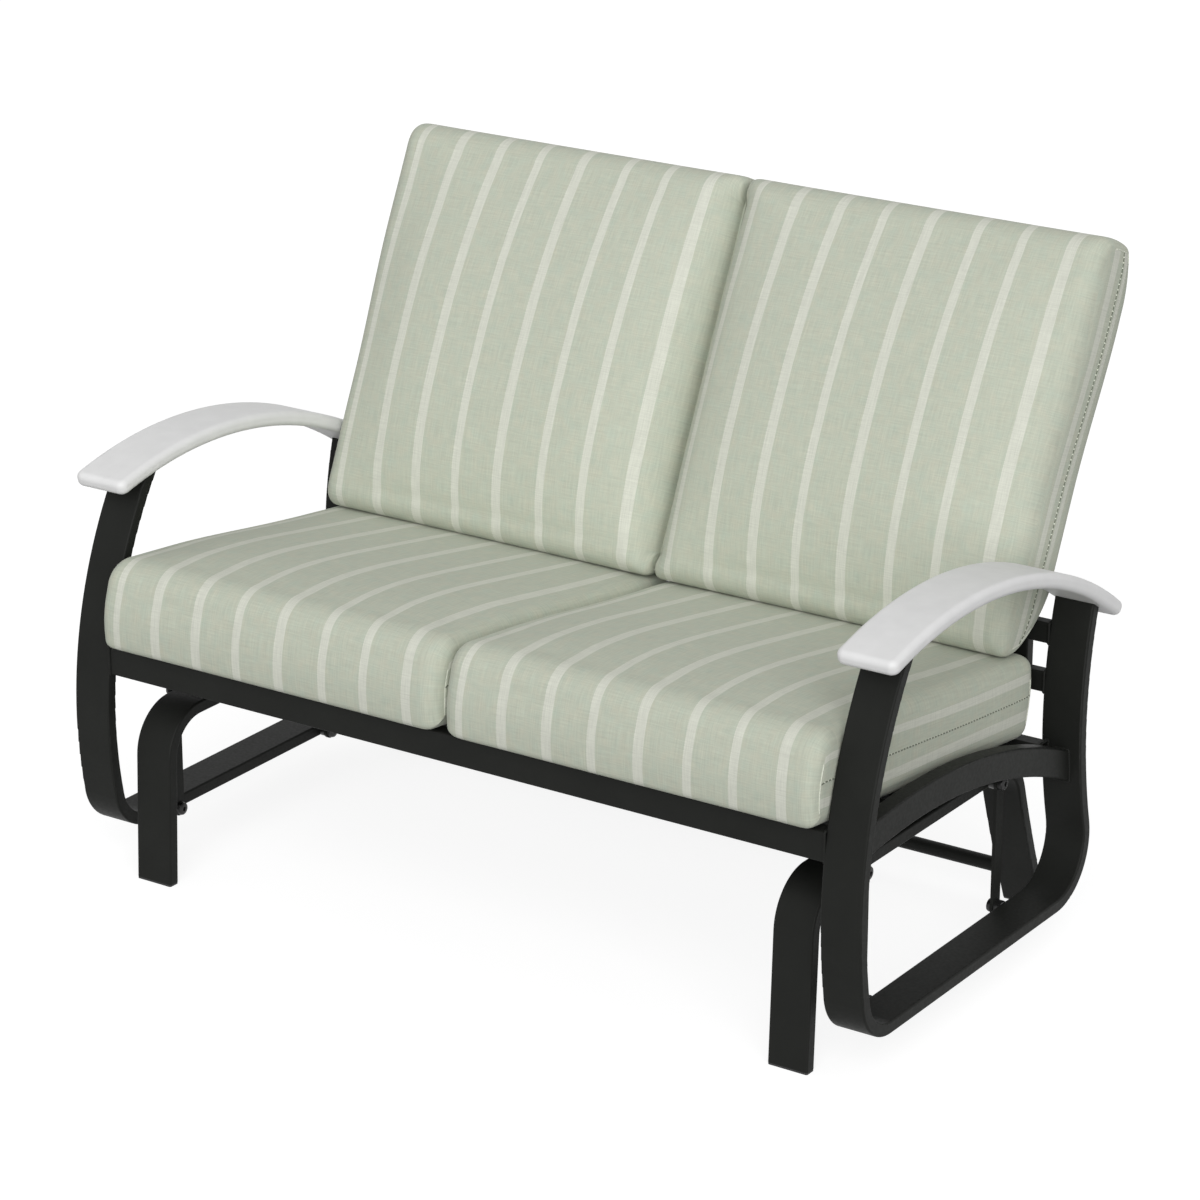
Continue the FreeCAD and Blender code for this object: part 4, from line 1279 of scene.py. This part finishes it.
class BENCH_OT_stage(bpy.types.Operator):
    """Set up the floor, the lights and the camera"""

    bl_idname = "bench.stage"
    bl_label = "Studio"

    def execute(self, context):
        studio = context.scene.bench.studio
        self.floor()
        self.light(studio)
        self.camera(studio)
        self.world(studio)
        context.scene.view_settings.view_transform = "Standard"
        return {"FINISHED"}

    def floor(self):
        corners = [(x * FLOOR_REACH, y * FLOOR_REACH, 0)
                   for x, y in ((-1, -1), (1, -1), (1, 1), (-1, 1))]
        floor = mesh_object("floor", corners, [(0, 1, 2, 3)])
        material = bpy.data.materials.new("painted_studio_floor")
        tree = cleared_tree(material)
        glow = maths(tree, "MULTIPLY", background_rays(tree), FLOOR_GLOW)
        light = flow(tree, "ShaderNodeEmission", {"Strength": glow})
        paint = flow(tree, "ShaderNodeBsdfDiffuse", {"Color": rgba([FLOOR_GREY] * 3)})
        both = flow(tree, "ShaderNodeAddShader", {0: light, 1: paint})
        add(tree, "ShaderNodeOutputMaterial", {"Surface": both})
        floor.data.materials.append(material)

    def light(self, studio):
        """One very wide and distant soft light, even over floor and bench."""
        light = bpy.data.lights.new("key", "SUN")
        light.energy = studio.key
        light.angle = studio.key_spread
        toward = direction(studio.key_azimuth, studio.key_elevation)
        lamp = linked("key", light)
        lamp.location = toward * LAMP_AWAY
        lamp.rotation_euler = facing(toward)

    def camera(self, studio):
        back = direction(studio.azimuth, studio.elevation)
        data = bpy.data.cameras.new("camera")
        data.lens = studio.lens
        data.sensor_width = SENSOR
        data.clip_end = 100
        camera = linked("camera", data)
        camera.location = Vector(AIM) + back * studio.distance
        camera.rotation_euler = facing(back)
        bpy.context.scene.camera = camera

    def world(self, studio):
        """White where the camera sees it, and an even light of the sky's strength elsewhere."""
        world = bpy.data.worlds.new("studio")
        bpy.context.scene.world = world
        tree = cleared_tree(world)
        strength = ranged(tree, background_rays(tree), studio.sky, 1.0)
        sky = flow(tree, "ShaderNodeBackground", {"Color": (1, 1, 1, 1),
                                                  "Strength": strength})
        add(tree, "ShaderNodeOutputWorld", {"Surface": sky})


class BENCH_PT_panel(bpy.types.Panel):
    bl_idname = "BENCH_PT_panel"
    bl_label = "Glider bench"
    bl_space_type = "VIEW_3D"
    bl_region_type = "UI"
    bl_category = "Bench"

    def draw(self, context):
        for operator in OPERATORS:
            self.layout.operator(operator.bl_idname)


OPERATORS = [BENCH_OT_finish_frame, BENCH_OT_welds, BENCH_OT_bolts, BENCH_OT_cloth,
             BENCH_OT_seat_cushions, BENCH_OT_back_cushions, BENCH_OT_stage]
GROUPS = [CushionSizes, SewingSizes, Finishes, Hardware, Studio, Bench]

# Sizes of the back cushions that differ from those of the seat cushions
BACK_SIZES = {
    "length": 0.614, "thickness": 0.122, "crown": 0.040, "crown_peak": 0.42,
    "side_round": 0.024, "inner_round": 0.052, "corner_round": 0.014,
    "inner_corner": 0.010,
}


def register():
    for group in GROUPS + OPERATORS + [BENCH_PT_panel]:
        bpy.utils.register_class(group)
    bpy.types.Scene.bench = PointerProperty(type=Bench)


def unregister():
    del bpy.types.Scene.bench
    for group in reversed(GROUPS + OPERATORS + [BENCH_PT_panel]):
        bpy.utils.unregister_class(group)


def main():
    register()
    for name, value in BACK_SIZES.items():
        setattr(bpy.context.scene.bench.back, name, value)
    bpy.ops.bench.finish_frame()
    bpy.ops.bench.welds()
    bpy.ops.bench.bolts()
    bpy.ops.bench.cloth()
    bpy.ops.bench.seat_cushions()
    bpy.ops.bench.back_cushions()
    bpy.ops.bench.stage()


if __name__ == "__main__":
    main()
